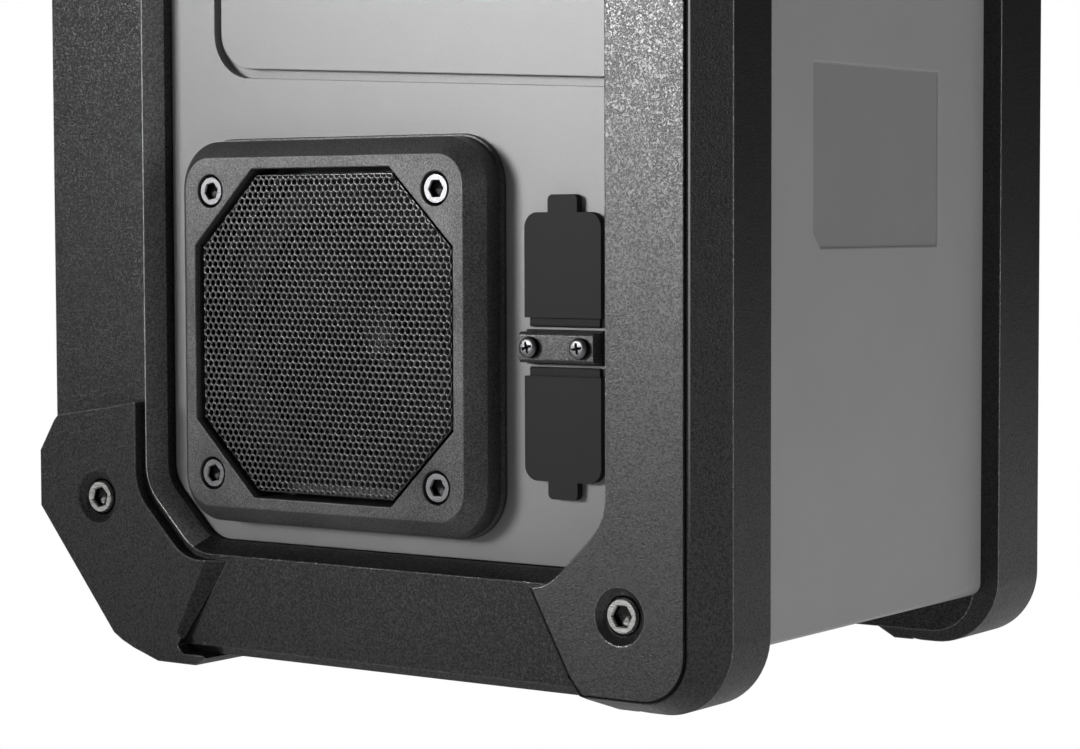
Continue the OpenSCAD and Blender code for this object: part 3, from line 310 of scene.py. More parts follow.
@node_group("rounded_edges", {"Radius": 0.0005}, {"Normal": VECTOR, "Edge": NUMBER})
def rounded_edges(tree, given):
    """Rounded edges: the rounded normal and a mask of where it leaves the flat one."""
    rounded = add(tree, "ShaderNodeBevel", samples=8, Radius=given["Radius"])[0]
    flat = add(tree, "ShaderNodeNewGeometry")["Normal"]
    likeness = add(tree, "ShaderNodeVectorMath", rounded, flat, operation="DOT_PRODUCT")["Value"]
    return {"Normal": rounded, "Edge": ramp(tree, likeness, 0.995, 0.94)}


@node_group("slanted_face", {}, {"Slant": NUMBER})
def slanted_face(tree, _):
    """A mask of faces that are turned both to the side and to the front or rear, such as the window's bevel, where a
    highlight is painted.
    """
    x, y, _ = axes(tree, add(tree, "ShaderNodeNewGeometry")["True Normal"])
    return {"Slant": (abs(x) > 0.4) * (abs(y) > 0.25)}


# ---------------- materials

# How much painted shade darkens a place, or a painted highlight brightens it.
SUNK_PAINTED_SHADE, EDGE_PAINTED_HIGHLIGHT = 0.22, 1.1
PAINTED_SHADOW_SHADE, RECESS_PAINTED_SHADE = 0.95, 0.93
GROOVE_PAINTED_SHADE, LIP_PAINTED_HIGHLIGHT = 0.93, 60.0
SEAM_PAINTED_SHADOW = 0.85

SEAM_WIDTH = 1.3 * MM


def made_once(fill):
    """Makes a function that gives the material of a name, and fills it in the first time.

    The function below it gets the tree and a colour, and returns values for the Principled shader's inputs.
    """
    def material(name, *values, **settings):
        if name not in bpy.data.materials:
            made = bpy.data.materials.new(name)
            made.use_nodes = True
            tree = made.node_tree
            for label, value in fill(tree, *values, **settings).items():
                plug(tree, tree.nodes["Principled BSDF"].inputs[label], value)
        return bpy.data.materials[name]
    return material


def toned(tree, tint, tone):
    """The colour multiplied by a grey tone."""
    return add(tree, "ShaderNodeMix", data_type="RGBA", blend_type="MULTIPLY", Factor=1.0, A=(*tint, 1.0),
               B=tone)["Result"]


def gloss(rim, rough, level):
    """The shader's roughness and specular level, with smoother and shinier edges."""
    return {"Roughness": rough * (1.0 - rim["Edge"] * 0.45), "Specular IOR Level": level * (1.0 + rim["Edge"] * 3.0)}


@made_once
def plastic(tree, tint, rough, grain, depth, spread, specular=0.5, edge=0.4, sunk=None, shadow=None):
    """Moulded plastic with a spark-eroded texture; grain, depth and edge radius in millimetres.

    When a sunk distance is given, a face sunk below it from the middle along X is a little darker, as painted shade,
    and every edge is brighter, as a painted highlight. What lies below the shadow distance along Y is nearly black,
    as painted shadow.
    """
    rim = use(tree, rounded_edges, Radius=edge * MM)
    effect = use(tree, moulded_grain, Grain_Size=grain * MM, Depth=depth * MM, Tone_Spread=spread,
                 Normal=rim["Normal"])
    tone = effect["Tone"]
    level = tone ** 3.0 * specular
    if sunk:
        # painted shade in the recess, and a painted highlight on every edge
        below = use(tree, depth_mask, Along_X=sunk)["Sunk"]
        tone = tone * (1.0 - below * SUNK_PAINTED_SHADE) * (1.0 + rim["Edge"] * EDGE_PAINTED_HIGHLIGHT)
    if shadow:
        # painted shadow: what lies below the shadow depth along Y is darkened, with its specular
        shown = 1.0 - use(tree, depth_mask, Along_Y=shadow)["Sunk"] * PAINTED_SHADOW_SHADE
        tone, level = tone * shown, level * shown
    return {"Base Color": toned(tree, tint, tone), "Normal": effect["Normal"],
            **gloss(rim, effect["Gloss Shift"] + rough, level)}


@made_once
def grained_rubber(tree, tint, rough, pebble, depth, specular, edge, contrast, glint, slant_highlight=0.0, outline=None,
                   seams=()):
    """The guards' tough plastic with its leather grain, painted shade along an outline's groove with a painted
    highlight on its lip, and painted shadow along seams, if given.

    Contrast is how much darker the creases are; glint and slant_highlight are painted highlights that brighten the
    edges and the slanted faces.
    """
    rim = use(tree, rounded_edges, Radius=edge * MM)
    leather = use(tree, leather_grain, Pebble_Size=pebble * MM, Depth=depth * MM, Normal=rim["Normal"])
    fine = use(tree, moulded_grain, Grain_Size=0.25 * MM, Depth=0.02 * MM, Tone_Spread=0.12)
    crease = leather["Crease"]
    # glint is a painted highlight on every edge
    shade = (fine["Tone"] - crease * (contrast * 0.8)) * (1.0 + rim["Edge"] * glint)
    level = (1.0 + 0.4 * contrast - crease * contrast) * specular
    lines = []
    if outline:
        # painted shade along the groove, and a painted highlight on its lip
        groove = use(tree, outline_mask, **outline)
        shade = shade + groove["Lip"] * LIP_PAINTED_HIGHLIGHT
        lines.append(groove["Line"] * GROOVE_PAINTED_SHADE)
    for x0, z0, x1, z1 in seams:
        # painted shadow along each seam
        seam = use(tree, seam_mask, Start_X=x0 * MM, Start_Z=z0 * MM, End_X=x1 * MM, End_Z=z1 * MM,
                   Line_Width=SEAM_WIDTH)
        lines.append(seam["Line"] * SEAM_PAINTED_SHADOW)
    # each painted shade or shadow line darkens the colour and the specular
    for line in lines:
        clear = 1.0 - line
        shade, level = shade * clear, level * clear
    # painted highlight on the slanted faces, such as the window's bevel
    if slant_highlight:
        shade = shade * (1.0 + use(tree, slanted_face)["Slant"] * slant_highlight)
    return {"Base Color": toned(tree, tint, shade), "Normal": leather["Normal"],
            **gloss(rim, crease * 0.12 + rough, level)}


@made_once
def metal(tree, tint, rough, scratch, sunk=None):
    """Plated or painted metal with faint streaks along X; below a sunk depth along Y it is dark, as painted shade.
    """
    stretch = add(tree, "ShaderNodeMapping", Vector=object_place(tree), Scale=(120.0, 3000.0, 3000.0))["Vector"]
    streaks = add(tree, "ShaderNodeTexNoise", Vector=stretch, Scale=1.0, Detail=3.0)["Fac"] - 0.5
    tone = streaks * (scratch * 4) + 1.0
    # painted shade in the recess
    if sunk:
        tone = tone * (1.0 - use(tree, depth_mask, Along_Y=sunk, Softness=0.4 * MM)["Sunk"] * RECESS_PAINTED_SHADE)
    return {"Base Color": toned(tree, tint, tone), "Roughness": streaks * (scratch * 6) + rough, "Metallic": 1.0}


ZINC_HEAD_RECESS = 94.3 * MM

# What makes each finish, its colour or the name of a colour setting, and its measures.
FINISHES = {
    # roughness, pebble size, depth, specular level, edge, contrast, glint (a painted edge highlight), slant
    # highlight (painted on slanted faces)
    "ring_plastic": (grained_rubber, "ring", 0.38, 0.6, 0.09, 0.52, 0.5, 0.65, 20.0, 26.0),
    "guard_plastic": (grained_rubber, "guard", 0.37, 0.6, 0.08, 0.46, 0.6, 0.65, 16.0),
    "creased_guard_plastic": (grained_rubber, "guard", 0.28, 0.55, 0.028, 0.66, 0.6, 0.55, 5.0),
    # roughness, grain size, depth, tone spread, specular level, edge
    "shell_plastic": (plastic, "shell", 0.42, 0.3, 0.02, 0.06),
    "side_plastic": (plastic, "side", 0.42, 0.3, 0.02, 0.06, 0.5, 0.25),
    "panel_plastic": (plastic, "panel", 0.38, 0.32, 0.035, 0.08),
    "bezel_plastic": (plastic, "bezel", 0.4, 0.45, 0.09, 0.34),
    "grille_paint": (plastic, "grille", 0.26, 0.2, 0.01, 0.1, 0.9, 0.05),
    "soft_rubber": (plastic, "rubber", 0.62, 0.3, 0.03, 0.15),
    "dark_plastic": (plastic, "dark", 0.4, 0.25, 0.02, 0.1),
    "accent_plastic": (plastic, "accent", 0.4, 0.25, 0.02, 0.1),
    # near black: the cone, surround and baskets are black, and darker still as painted shade behind the grilles;
    # surround_rubber also colours the shade sheets
    "pressed_paper": (plastic, (0.005, 0.005, 0.005), 0.4, 0.5, 0.05, 0.2, 0.25),
    "surround_rubber": (plastic, (0.003, 0.003, 0.003), 0.5, 0.4, 0.02, 0.2, 0.1),
    "solder_mask": (plastic, (0.02, 0.09, 0.04), 0.35, 0.6, 0.04, 0.25),
    "display_panel": (plastic, (0.30, 0.36, 0.28), 0.6, 0.4, 0.01, 0.04),
    "display_glass": (plastic, (0.30, 0.32, 0.32), 0.06, 0.4, 0.004, 0.02),
    "white_mark": (plastic, (0.62, 0.62, 0.60), 0.5, 0.3, 0.02, 0.05),
    # roughness, scratches, depth of a recess along Y, below which painted shade darkens it
    "zinc_plate": (metal, (0.42, 0.42, 0.41), 0.32, 0.08),
    "zinc_head": (metal, (0.42, 0.42, 0.41), 0.3, 0.1, ZINC_HEAD_RECESS),
    "black_oxide": (metal, (0.16, 0.16, 0.165), 0.34, 0.08),
    "polished_tube": (metal, (0.78, 0.78, 0.79), 0.12, 0.02),
    "magnet_steel": (metal, (0.3, 0.3, 0.31), 0.35, 0.05),
    "terminal_brass": (metal, (0.66, 0.47, 0.2), 0.3, 0.05),
}


def finish(kind, at=None, **more):
    """The material of a kind of finish. With a face's distance from the middle, that stands in its name."""
    make, tint, *values = FINISHES[kind]
    tint = getattr(bpy.context.scene.radio_colours, tint) if isinstance(tint, str) else tint
    name = kind if at is None else "%s_%d" % (kind, round(at / MM))
    return make(name, tint, *values, **more)


def bar_seams(top):
    """The joints between the bars and the side guards' toes, at the foot and at the top, in millimetres, along which
    a painted shadow line is drawn.
    """
    points = [(60.0, 31.0), (72.3, 8.5), (76.8, 3.4)]
    low = [(*a, *b) for a, b in zip(points, points[1:])]
    return low + [(x0, top - z0, x1, top - z1) for x0, z0, x1, z1 in low]


def creased_guard_plastic():
    """The side guards' plastic, with painted shade along the crease between their face and their chamfer, a painted
    highlight on its lip, and painted shadow along the seams at the bars.
    """
    low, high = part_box("rear_side_guard")
    middle = (low.z + high.z) / 2
    outline = {"Middle_X": 0.0, "Middle_Z": middle, "Half_X": high.x - 8.8 * MM, "Half_Z": middle - 4.0 * MM,
               "Radius": 13.0 * MM, "Line_Width": 1.1 * MM, "Face_Depth": 93.8 * MM}
    return finish("creased_guard_plastic", outline=outline, seams=bar_seams(high.z / MM))


def side_plastic():
    """The side panels' plastic, with painted shade in the label's recess and a painted highlight on its edges."""
    return finish("side_plastic", sunk=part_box("right_side_panel")[1].x - 0.4 * MM)


def grille_paint(face):
    """The grilles' paint, with what lies below the sheet painted nearly black, as painted shadow."""
    return finish("grille_paint", face, shadow=face - 0.42 * MM)


def black_oxide(face):
    """The black screws' finish, with painted shade in their recesses."""
    return finish("black_oxide", face, sunk=face - 0.6 * MM)


def display_glass():
    material = finish("display_glass")
    shader = material.node_tree.nodes["Principled BSDF"]
    shader.inputs["Transmission Weight"].default_value = 1.0
    shader.inputs["IOR"].default_value = 1.46
    return material


# ---------------- meshes

def body_of_node(node):
    """The name of the CAD body that a node belongs to."""
    bodies = frame["record"]["behaviour"]["bodies"]
    return next(body for body, nodes in bodies.items() if node in nodes)


def slot_of_node(node):
    return next(row["material_slot"] for row in frame["record"]["subparts"] if row["node"] == node)


def with_settings(target, **settings):
    for key, value in settings.items():
        setattr(target, key, value)
    return target


def link_object(name, data, material=None):
    if material:
        data.materials.clear()
        data.materials.append(material)
    piece = bpy.data.objects.new(name, data)
    bpy.context.scene.collection.objects.link(piece)
    return piece


def settle(piece, *nodes):
    """The finished piece takes the nodes' place and rides on their body. Their slot is looked up, but not given to
    the piece.
    """
    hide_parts(*nodes)
    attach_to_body(piece, body_of_node(nodes[0]))
    slot_of_node(nodes[0])
    return piece


def mesh_of(name, points, faces=()):
    mesh = bpy.data.meshes.new(name)
    mesh.from_pydata(points, [], faces)
    return mesh


def as_mesh(form, mesh):
    """Writes the bmesh into a mesh, or into a new one of that name."""
    mesh = bpy.data.meshes.new(mesh) if isinstance(mesh, str) else mesh
    form.to_mesh(mesh)
    form.free()
    return mesh


def smoothed(mesh, sharp_degrees):
    mesh.shade_smooth()
    mesh.set_sharp_from_angle(angle=math.radians(sharp_degrees))
    return mesh


def discard(piece):
    mesh = piece.data
    bpy.data.objects.remove(piece)
    bpy.data.meshes.remove(mesh)


def baked(piece):
    """The piece's mesh with its modifiers applied, which are then removed. It keeps its one material."""
    material = piece.data.materials[0]
    graph = bpy.context.evaluated_depsgraph_get()
    result = bpy.data.meshes.new_from_object(piece.evaluated_get(graph), depsgraph=graph,
                                             preserve_all_data_layers=True)
    piece.modifiers.clear()
    result.materials.clear()
    result.materials.append(material)
    result.polygons.foreach_set("material_index", [0] * len(result.polygons))
    old = piece.data
    piece.data = result
    bpy.data.meshes.remove(old)
    return piece


def clean_copy(node):
    """A copy of a CAD node's mesh with its doubles merged and its flat faces joined."""
    mesh = frame["nodes"][node].data.copy()
    form = bmesh.new()
    form.from_mesh(mesh)
    bmesh.ops.remove_doubles(form, verts=form.verts, dist=0.002 * MM)
    bmesh.ops.dissolve_limit(form, angle_limit=math.radians(0.4), verts=form.verts, edges=form.edges,
                             delimit=set())
    return as_mesh(form, mesh)


def keep_inside(mesh, node):
    """Draws in any vertex that a rounding threw beyond the CAD node's box."""
    low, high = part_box(node)
    for vertex in mesh.vertices:
        vertex.co = [min(max(value, least), most) for value, least, most in zip(vertex.co, low, high)]


def material_of(look):
    """A material, given as itself or by its finish's name."""
    return finish(look) if isinstance(look, str) else look


def crisp(node, look, edge="edge", segments=2, angle=32.0):
    """The CAD node again with its edges rounded by one of the size settings, as a moulded part has them."""
    mesh = clean_copy(node)
    mesh.shade_smooth()
    piece = link_object(node + "_shape", mesh, material_of(look))
    with_settings(piece.modifiers.new("edges", "BEVEL"), width=getattr(sizes(), edge), segments=segments,
                  limit_method="ANGLE", angle_limit=math.radians(angle), use_clamp_overlap=True)
    with_settings(piece.modifiers.new("normals", "WEIGHTED_NORMAL"), weight=80, keep_sharp=True)
    baked(piece)
    keep_inside(piece.data, node)
    return settle(piece, node)


def repaint(node, look):
    """Gives a CAD node, which stays as it is, its material."""
    for slot in frame["nodes"][node].material_slots:
        slot.material = material_of(look)


# ---------------- repeats made by geometry nodes

def attach(piece, tree, values):
    """Puts the tree on the piece and sets its inputs by their sockets' identifiers."""
    modifier = piece.modifiers.new(tree.name, "NODES")
    modifier.node_group = tree
    for item in tree.interface.items_tree:
        if item.in_out == "INPUT" and item.name in values:
            modifier[item.identifier] = values[item.name]


def on_points(tree, points, instance, **settings):
    return add(tree, "GeometryNodeInstanceOnPoints", Points=points, Instance=instance, **settings)["Instances"]


def realised(tree, instances):
    return add(tree, "GeometryNodeRealizeInstances", Geometry=instances)["Geometry"]


def painted(tree, geometry, material):
    return {"Geometry": add(tree, "GeometryNodeSetMaterial", Geometry=geometry, Material=material)["Geometry"]}


def place_here(tree):
    """The place of each point where the value is used."""
    return add(tree, "GeometryNodeInputPosition")[0]


def moved(tree, geometry, **settings):
    return add(tree, "GeometryNodeSetPosition", Geometry=geometry, **settings)["Geometry"]


def extruded(tree, mesh, **settings):
    """The mesh with faces drawn from its edges. Top marks their far sides."""
    return add(tree, "GeometryNodeExtrudeMesh", mode="EDGES", Mesh=mesh, **settings)


def scaled(tree, value, factor):
    return add(tree, "ShaderNodeVectorMath", value, operation="SCALE", Scale=factor)[0]


SPIN_SEED = 7
SPREAD_MAX = 3      # the place of the random value's upper limit among its node's inputs


@node_group("repeat_on_points", {"Geometry": GEOMETRY, "Template": TEMPLATE, "Turn": (0.0, 0.0, 0.0),
                                 "Spin Spread": 0.0, "Material": MATERIAL},
            {"Geometry": GEOMETRY}, "GeometryNodeTree")
def repeat_on_points(tree, given):
    """One template object on every point, turned, realised and painted."""
    template = add(tree, "GeometryNodeObjectInfo", Object=given["Template"], As_Instance=True)["Geometry"]
    spread = add(tree, "FunctionNodeRandomValue", *[None] * SPREAD_MAX, given["Spin Spread"], data_type="FLOAT",
                 Seed=SPIN_SEED)[1]
    turned = on_points(tree, given["Geometry"], template, Rotation=given["Turn"])
    spun = add(tree, "GeometryNodeRotateInstances", Instances=turned, Rotation=vector(tree, Z=spread))["Instances"]
    return painted(tree, realised(tree, spun), given["Material"])


@node_group("perforated_sheet",
            {"Geometry": GEOMETRY, "Width": 0.08, "Height": 0.08, "Corner Cut": 0.02, "Pitch": 0.002,
             "Hole Diameter": 0.0014, "Rim": 0.0002, "Thickness": 0.0005, "Place": (0.0, 0.0, 0.0),
             "Turn": (0.0, 0.0, 0.0), "Material": MATERIAL},
            {"Geometry": GEOMETRY}, "GeometryNodeTree")
def perforated_sheet(tree, given):
    """Staggered rows of six-sided tiles, each with a round hole, inside a rectangle with cut corners."""
    pitch = given["Pitch"]
    row_pitch = pitch * (math.sqrt(3) / 2)

    def count(extent, gap):
        return math.ceil(extent * 0.5 / gap) * 2.0 + 1.0

    columns, rows = count(given["Width"], pitch), count(given["Height"], row_pitch)
    grid = add(tree, "GeometryNodeMeshGrid", Vertices_X=columns, Vertices_Y=rows, Size_X=(columns - 1.0) * pitch,
               Size_Y=(rows - 1.0) * row_pitch)["Mesh"]
    _, y, _ = axes(tree, place_here(tree))
    odd = round(y / row_pitch) % 2.0
    staggered = moved(tree, grid, Offset=vector(tree, X=odd * 0.5 * pitch))

    x, y, _ = axes(tree, place_here(tree))
    across, up = abs(x), abs(y)
    half_w, half_h = given["Width"] * 0.5, given["Height"] * 0.5
    past_corner = across + up > half_w + half_h - given["Corner Cut"]
    outside = (across > half_w).at_least(up > half_h).at_least(past_corner)
    kept = add(tree, "GeometryNodeDeleteGeometry", domain="POINT", Geometry=staggered,
               Selection=outside > 0.5)["Geometry"]

    # The tile: twelve points round a hexagon, drawn in to the hole's rim, which rounds over into the hole.
    circle = add(tree, "GeometryNodeMeshCircle", Vertices=12, Radius=pitch * 0.5)["Mesh"]
    index = add(tree, "GeometryNodeInputIndex")[0]
    corner = 1.0 + index.remainder(2.0) * (2 / math.sqrt(3) - 1)
    hexagon = moved(tree, circle, Position=scaled(tree, place_here(tree), corner))
    face = extruded(tree, hexagon, Offset_Scale=0.0)
    hole_r = given["Hole Diameter"] * 0.5
    rim_r = hole_r + given["Rim"]
    inward = add(tree, "ShaderNodeVectorMath", place_here(tree), operation="NORMALIZE")[0]
    drawn = moved(tree, face["Mesh"], Selection=face["Top"], Position=scaled(tree, inward, rim_r))
    through = extruded(tree, drawn, Selection=face["Top"], Offset=vector(tree, Z=given["Thickness"] * -1.0))
    closer = hole_r / rim_r
    wall_end = add(tree, "ShaderNodeVectorMath", place_here(tree), vector(tree, X=closer, Y=closer, Z=1.0),
                   operation="MULTIPLY")[0]
    tile = moved(tree, through["Mesh"], Selection=through["Top"], Position=wall_end)

    real = realised(tree, on_points(tree, kept, tile))
    placed = add(tree, "GeometryNodeTransform", Geometry=real, Translation=given["Place"], Rotation=given["Turn"])
    joints = add(tree, "GeometryNodeMergeByDistance", Geometry=placed["Geometry"], Distance=0.01 * MM)
    return painted(tree, joints["Geometry"], given["Material"])


# ---------------- screws

REAR_TURN = (math.pi / 2, 0.0, 0.0)
FRONT_TURN = (-math.pi / 2, 0.0, 0.0)
HEAD_SPIN = 0.4
CAGE_SCREWS = [(-93.1, 45.6), (-93.1, 237.4), (87.8, 25.3), (87.8, 257.7)]
REAR_BEZEL = (-9.65, 94.0, 39.3, 39.3)
FRONT_BEZEL = (4.75, 101.0, 57.0, 48.0)


def turned_template(name, count, rings):
    """A closed turned shape from rings of that many points, each given as its radius and height.

    A radius is a number or a function of the angle.
    """
    form = bmesh.new()
    angles = [2 * math.pi * i / count for i in range(count)]
    loops = []
    for radius, z in rings:
        reaches = [radius(a) if callable(radius) else radius for a in angles]
        loops.append([form.verts.new((r * math.cos(a), r * math.sin(a), z)) for r, a in zip(reaches, angles)])
    for low, high in zip(loops, loops[1:]):
        for i, point in enumerate(low):
            j = (i + 1) % count
            form.faces.new((point, low[j], high[j], high[i]))
    form.faces.new(list(reversed(loops[0])))
    form.faces.new(loops[-1])
    bmesh.ops.recalc_face_normals(form, faces=form.faces)
    return link_object(name, smoothed(as_mesh(form, name), 28))


def hex_radius(apothem):
    return lambda a: apothem / math.cos((a % (math.pi / 3)) - math.pi / 6)


def cross_radius(reach, half_width):
    """The outline of a cross recess, seen from its middle."""
    def radius(a):
        off = abs(((a + math.pi / 4) % (math.pi / 2)) - math.pi / 4)
        return min(reach, half_width / max(math.sin(off), half_width / reach))
    return radius


def socket_head(name, width, height, key):
    """A socket head cap screw's head: knurled side, chamfered rim, six-sided socket. Its face is at z = 0."""
    count = 72
    r = width / 2
    knurl = lambda a: r * (1 - 0.022 * (round(a / (2 * math.pi / count)) % 2))
    return turned_template(name, count, [
        (r * 0.98, -height), (knurl, -height * 0.94), (knurl, -r * 0.2), (r * 0.97, -r * 0.13), (r * 0.88, 0.0),
        (hex_radius(key * 0.57), 0.0), (hex_radius(key * 0.5), -r * 0.08), (hex_radius(key * 0.5), -height * 0.62),
        (r * 0.1, -height * 0.78)])


def pan_head(name, width, height):
    """A pan head with a cross recess. Its top is at z = 0."""
    r = width / 2
    cross = cross_radius(r * 0.55, r * 0.13)
    return turned_template(name, 48, [
        (r, -height), (r, -height * 0.55), (r * 0.93, -height * 0.22), (r * 0.78, -height * 0.06), (r * 0.62, 0.0),
        (cross, 0.0), (cross, -height * 0.45), (r * 0.05, -height * 0.7)])


def screws(node, places, template, material, turn):
    """The screws' heads, one at each place in millimetres, over the shanks of the CAD node."""
    name = node + "_" + template.name
    piece = link_object(name, mesh_of(name, [Vector(place) * MM for place in places]), material)
    attach(piece, repeat_on_points(), {"Template": template, "Turn": turn, "Material": material,
                                       "Spin Spread": HEAD_SPIN})
    baked(piece)
    discard(template)
    return piece


# ---------------- grilles

SHEET = 0.4 * MM            # thickness of the perforated sheet
RIM_DROP = 0.45 * MM        # how far the bent rim starts below the sheet's face
BEND_STEPS = 5
SHADE_SHEET_INSET = 1.5 * MM
SHADE_SHEET_LIFT = 0.3 * MM
SHADE_SHEET_STEPS = 96


def cut_outline(half, cut, inset):
    """The corners of a rectangle with cut corners, drawn in by the inset."""
    w, h, c = half[0] - inset, half[1] - inset, cut - inset * (2 - math.sqrt(2))
    return [(-w, -h + c), (-w + c, -h), (w - c, -h), (w, -h + c), (w, h - c), (w - c, h), (-w + c, h), (-w, h - c)]


def sides(outline):
    """Each side of a closed outline, as its two ends."""
    return zip(outline, outline[1:] + outline[:1])


def grille_edge(name, low, high, half, cut, facing, material):
    """The grille's bend and its side walls between two depths, as rings of a rectangle with cut corners."""
    bend = sizes().grille_bend
    rings = [(sizes().grille_border + bend, 0.0), (bend, 0.0)]
    for i in range(1, BEND_STEPS + 1):
        a = math.pi / 2 * i / BEND_STEPS
        rings.append((bend * (1 - math.sin(a)), bend * (1 - math.cos(a))))
    rings.append((0.0, high - low))
    form = bmesh.new()
    loops = [[form.verts.new((x, high - back if facing > 0 else low + back, z))
              for x, z in cut_outline(half, cut, inset)] for inset, back in rings]
    for outer, inner in zip(loops, loops[1:]):
        for (a, b), (c, d) in zip(sides(outer), sides(inner)):
            form.faces.new((a, b, d, c))
    centre = Vector((0, (low + high) / 2, 0))
    for face in form.faces:
        face.normal_update()
        if face.normal.dot(face.calc_center_median() - centre) < 0:
            face.normal_flip()
    return link_object(name, smoothed(as_mesh(form, name), 40), material)


def joined(pieces):
    """One object from several whose places are all in their meshes."""
    form = bmesh.new()
    for piece in pieces:
        form.from_mesh(piece.data)
    as_mesh(form, pieces[0].data)
    for other in pieces[1:]:
        discard(other)
    return pieces[0]


def trimmed(piece, centre, outline):
    """The piece cut off at an outline's straight sides, which stand upright round the centre."""
    form = bmesh.new()
    form.from_mesh(piece.data)
    for (x0, z0), (x1, z1) in sides(outline):
        bmesh.ops.bisect_plane(form, geom=form.verts[:] + form.edges[:] + form.faces[:], dist=1e-7,
                               plane_co=centre + Vector((x0, 0, z0)), plane_no=Vector((z1 - z0, 0, x0 - x1)),
                               clear_outer=True)
    as_mesh(form, piece.data)
    return piece


def reach_to(outline, ray):
    """How far a ray from the middle goes before it meets a closed outline."""
    crossings = [(x0 * (z1 - z0) - z0 * (x1 - x0), ray[0] * (z1 - z0) - ray[1] * (x1 - x0))
                 for (x0, z0), (x1, z1) in sides(outline)]
    return min(abs(far / near) for far, near in crossings if far * near > 0)


def shade_sheet(name, centre, half, cut, hole, y, facing):
    """A black sheet between the panel and the grille that stands in for the shade behind the grille, as painted
    shade: a flat sheet with a round hole for the cone.
    """
    corners = cut_outline(half, cut, SHADE_SHEET_INSET)
    form = bmesh.new()
    spokes = []
    for i in range(SHADE_SHEET_STEPS):
        a = 2 * math.pi * i / SHADE_SHEET_STEPS
        ray = (math.cos(a), math.sin(a))
        spokes.append([form.verts.new((centre.x + ray[0] * r, y, centre.z + ray[1] * r))
                       for r in (hole, reach_to(corners, ray))])
    for (inner, outer), (inner_2, outer_2) in sides(spokes):
        form.faces.new((inner, outer, outer_2, inner_2))
    bmesh.ops.recalc_face_normals(form, faces=form.faces)
    if form.faces[0].normal.y * facing < 0:
        bmesh.ops.reverse_faces(form, faces=form.faces)
    piece = link_object(name, as_mesh(form, name), finish("surround_rubber"))
    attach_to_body(piece, "cage")


def grille(node, cut, facing, hole):
    """A perforated sheet with real holes and bent-back edges, facing -Y or +Y, over a black sheet of painted shade.
    """
    low, high = (Vector(corner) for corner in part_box(node))
    centre = (low + high) / 2
    half = ((high.x - low.x) / 2, (high.z - low.z) / 2)
    face_y, back_y = (high.y, low.y) if facing > 0 else (low.y, high.y)
    paint = grille_paint(abs(face_y))
    sheet = link_object(node + "_sheet", mesh_of(node, [(0, 0, 0)]), paint)
    own = sizes()
    attach(sheet, perforated_sheet(), {
        "Width": 2 * half[0] + own.hole_pitch, "Height": 2 * half[1] + own.hole_pitch, "Corner Cut": cut,
        "Pitch": own.hole_pitch, "Hole Diameter": own.hole_width, "Rim": own.hole_rim, "Thickness": SHEET,
        "Place": (centre.x, face_y, centre.z), "Turn": (math.pi / 2, 0.0, 0.0 if facing < 0 else math.pi),
        "Material": paint})
    trimmed(baked(sheet), centre, cut_outline(half, cut, own.grille_bend)).data.shade_smooth()
    start, end = sorted((face_y - facing * RIM_DROP, back_y))
    rim = grille_edge(node + "_rim", start, end, half, cut, facing, paint)
    rim.data.transform(Matrix.Translation((centre.x, 0, centre.z)))
    settle(joined([sheet, rim]), node)
    # a black sheet of painted shade behind the grille
    shade_sheet(node + "_gasket", centre, half, cut, hole, back_y + facing * SHADE_SHEET_LIFT, facing)


# ---------------- marks

def flat_boxes(name, boxes, y, material):
    """Thin upright tiles at depth y, each (x0, z0, x1, z1) in metres, facing +Y."""
    form = bmesh.new()
    for x0, z0, x1, z1 in boxes:
        form.faces.new([form.verts.new((x, y, z)) for x, z in ((x0, z1), (x1, z1), (x1, z0), (x0, z0))])
    return link_object(name, as_mesh(form, name), material)


def digit_strokes(digit, x, w, h, t):
    """The lit strokes of a seven-stroke digit, as boxes (x0, z0, x1, z1) with x to the viewer's right."""
    lit = {0: "abcdef", 1: "bc", 2: "abged", 4: "fgbc"}[digit]
    g = t * 0.35
    middle = h / 2
    boxes = {"a": (x + g, h - t, x + w - g, h), "d": (x + g, 0.0, x + w - g, t),
             "g": (x + g, middle - t / 2, x + w - g, middle + t / 2),
             "f": (x, middle + g, x + t, h - g), "b": (x + w - t, middle + g, x + w, h - g),
             "e": (x, g, x + t, middle - g), "c": (x + w - t, g, x + w, middle - g)}
    return [boxes[stroke] for stroke in lit]


def display_figures():
    """Plain seven-stroke figures on the display module, behind the lens, with a point before the last."""
    low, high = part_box("display_module")
    wide, tall, thick, gap = 9 * MM, 18 * MM, 2.2 * MM, 4 * MM
    boxes = []
    x = 0.0
    for figure in (1, 0, 2, 4):
        boxes += digit_strokes(figure, x, wide, tall, thick)
        x += wide + gap
        if figure == 2:
            boxes.append((x - 2.6 * MM, 0.0, x - 0.4 * MM, thick))
            x += 2 * MM
    left = (low.x + high.x) / 2 + (x - gap) / 2
    floor = (low.z + high.z - tall) / 2
    placed = [(left - x1, floor + z0, left - x0, floor + z1) for x0, z0, x1, z1 in boxes]
    piece = flat_boxes("display_figures", placed, high.y + 0.05 * MM, finish("dark_plastic"))
    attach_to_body(piece, "cage")


def pointer(node):
    """The pale line in a knob's pointer groove."""
    low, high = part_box(node)
    x, z, reach = (low.x + high.x) / 2, (low.z + high.z) / 2, (high.z - low.z) / 2
    piece = flat_boxes(node + "_pointer", [(x - 0.7 * MM, z + reach * 0.5, x + 0.7 * MM, z + reach * 0.86)],
                       high.y - 0.5 * MM, finish("white_mark"))
    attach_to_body(piece, body_of_node(node))


# ---------------- pieces

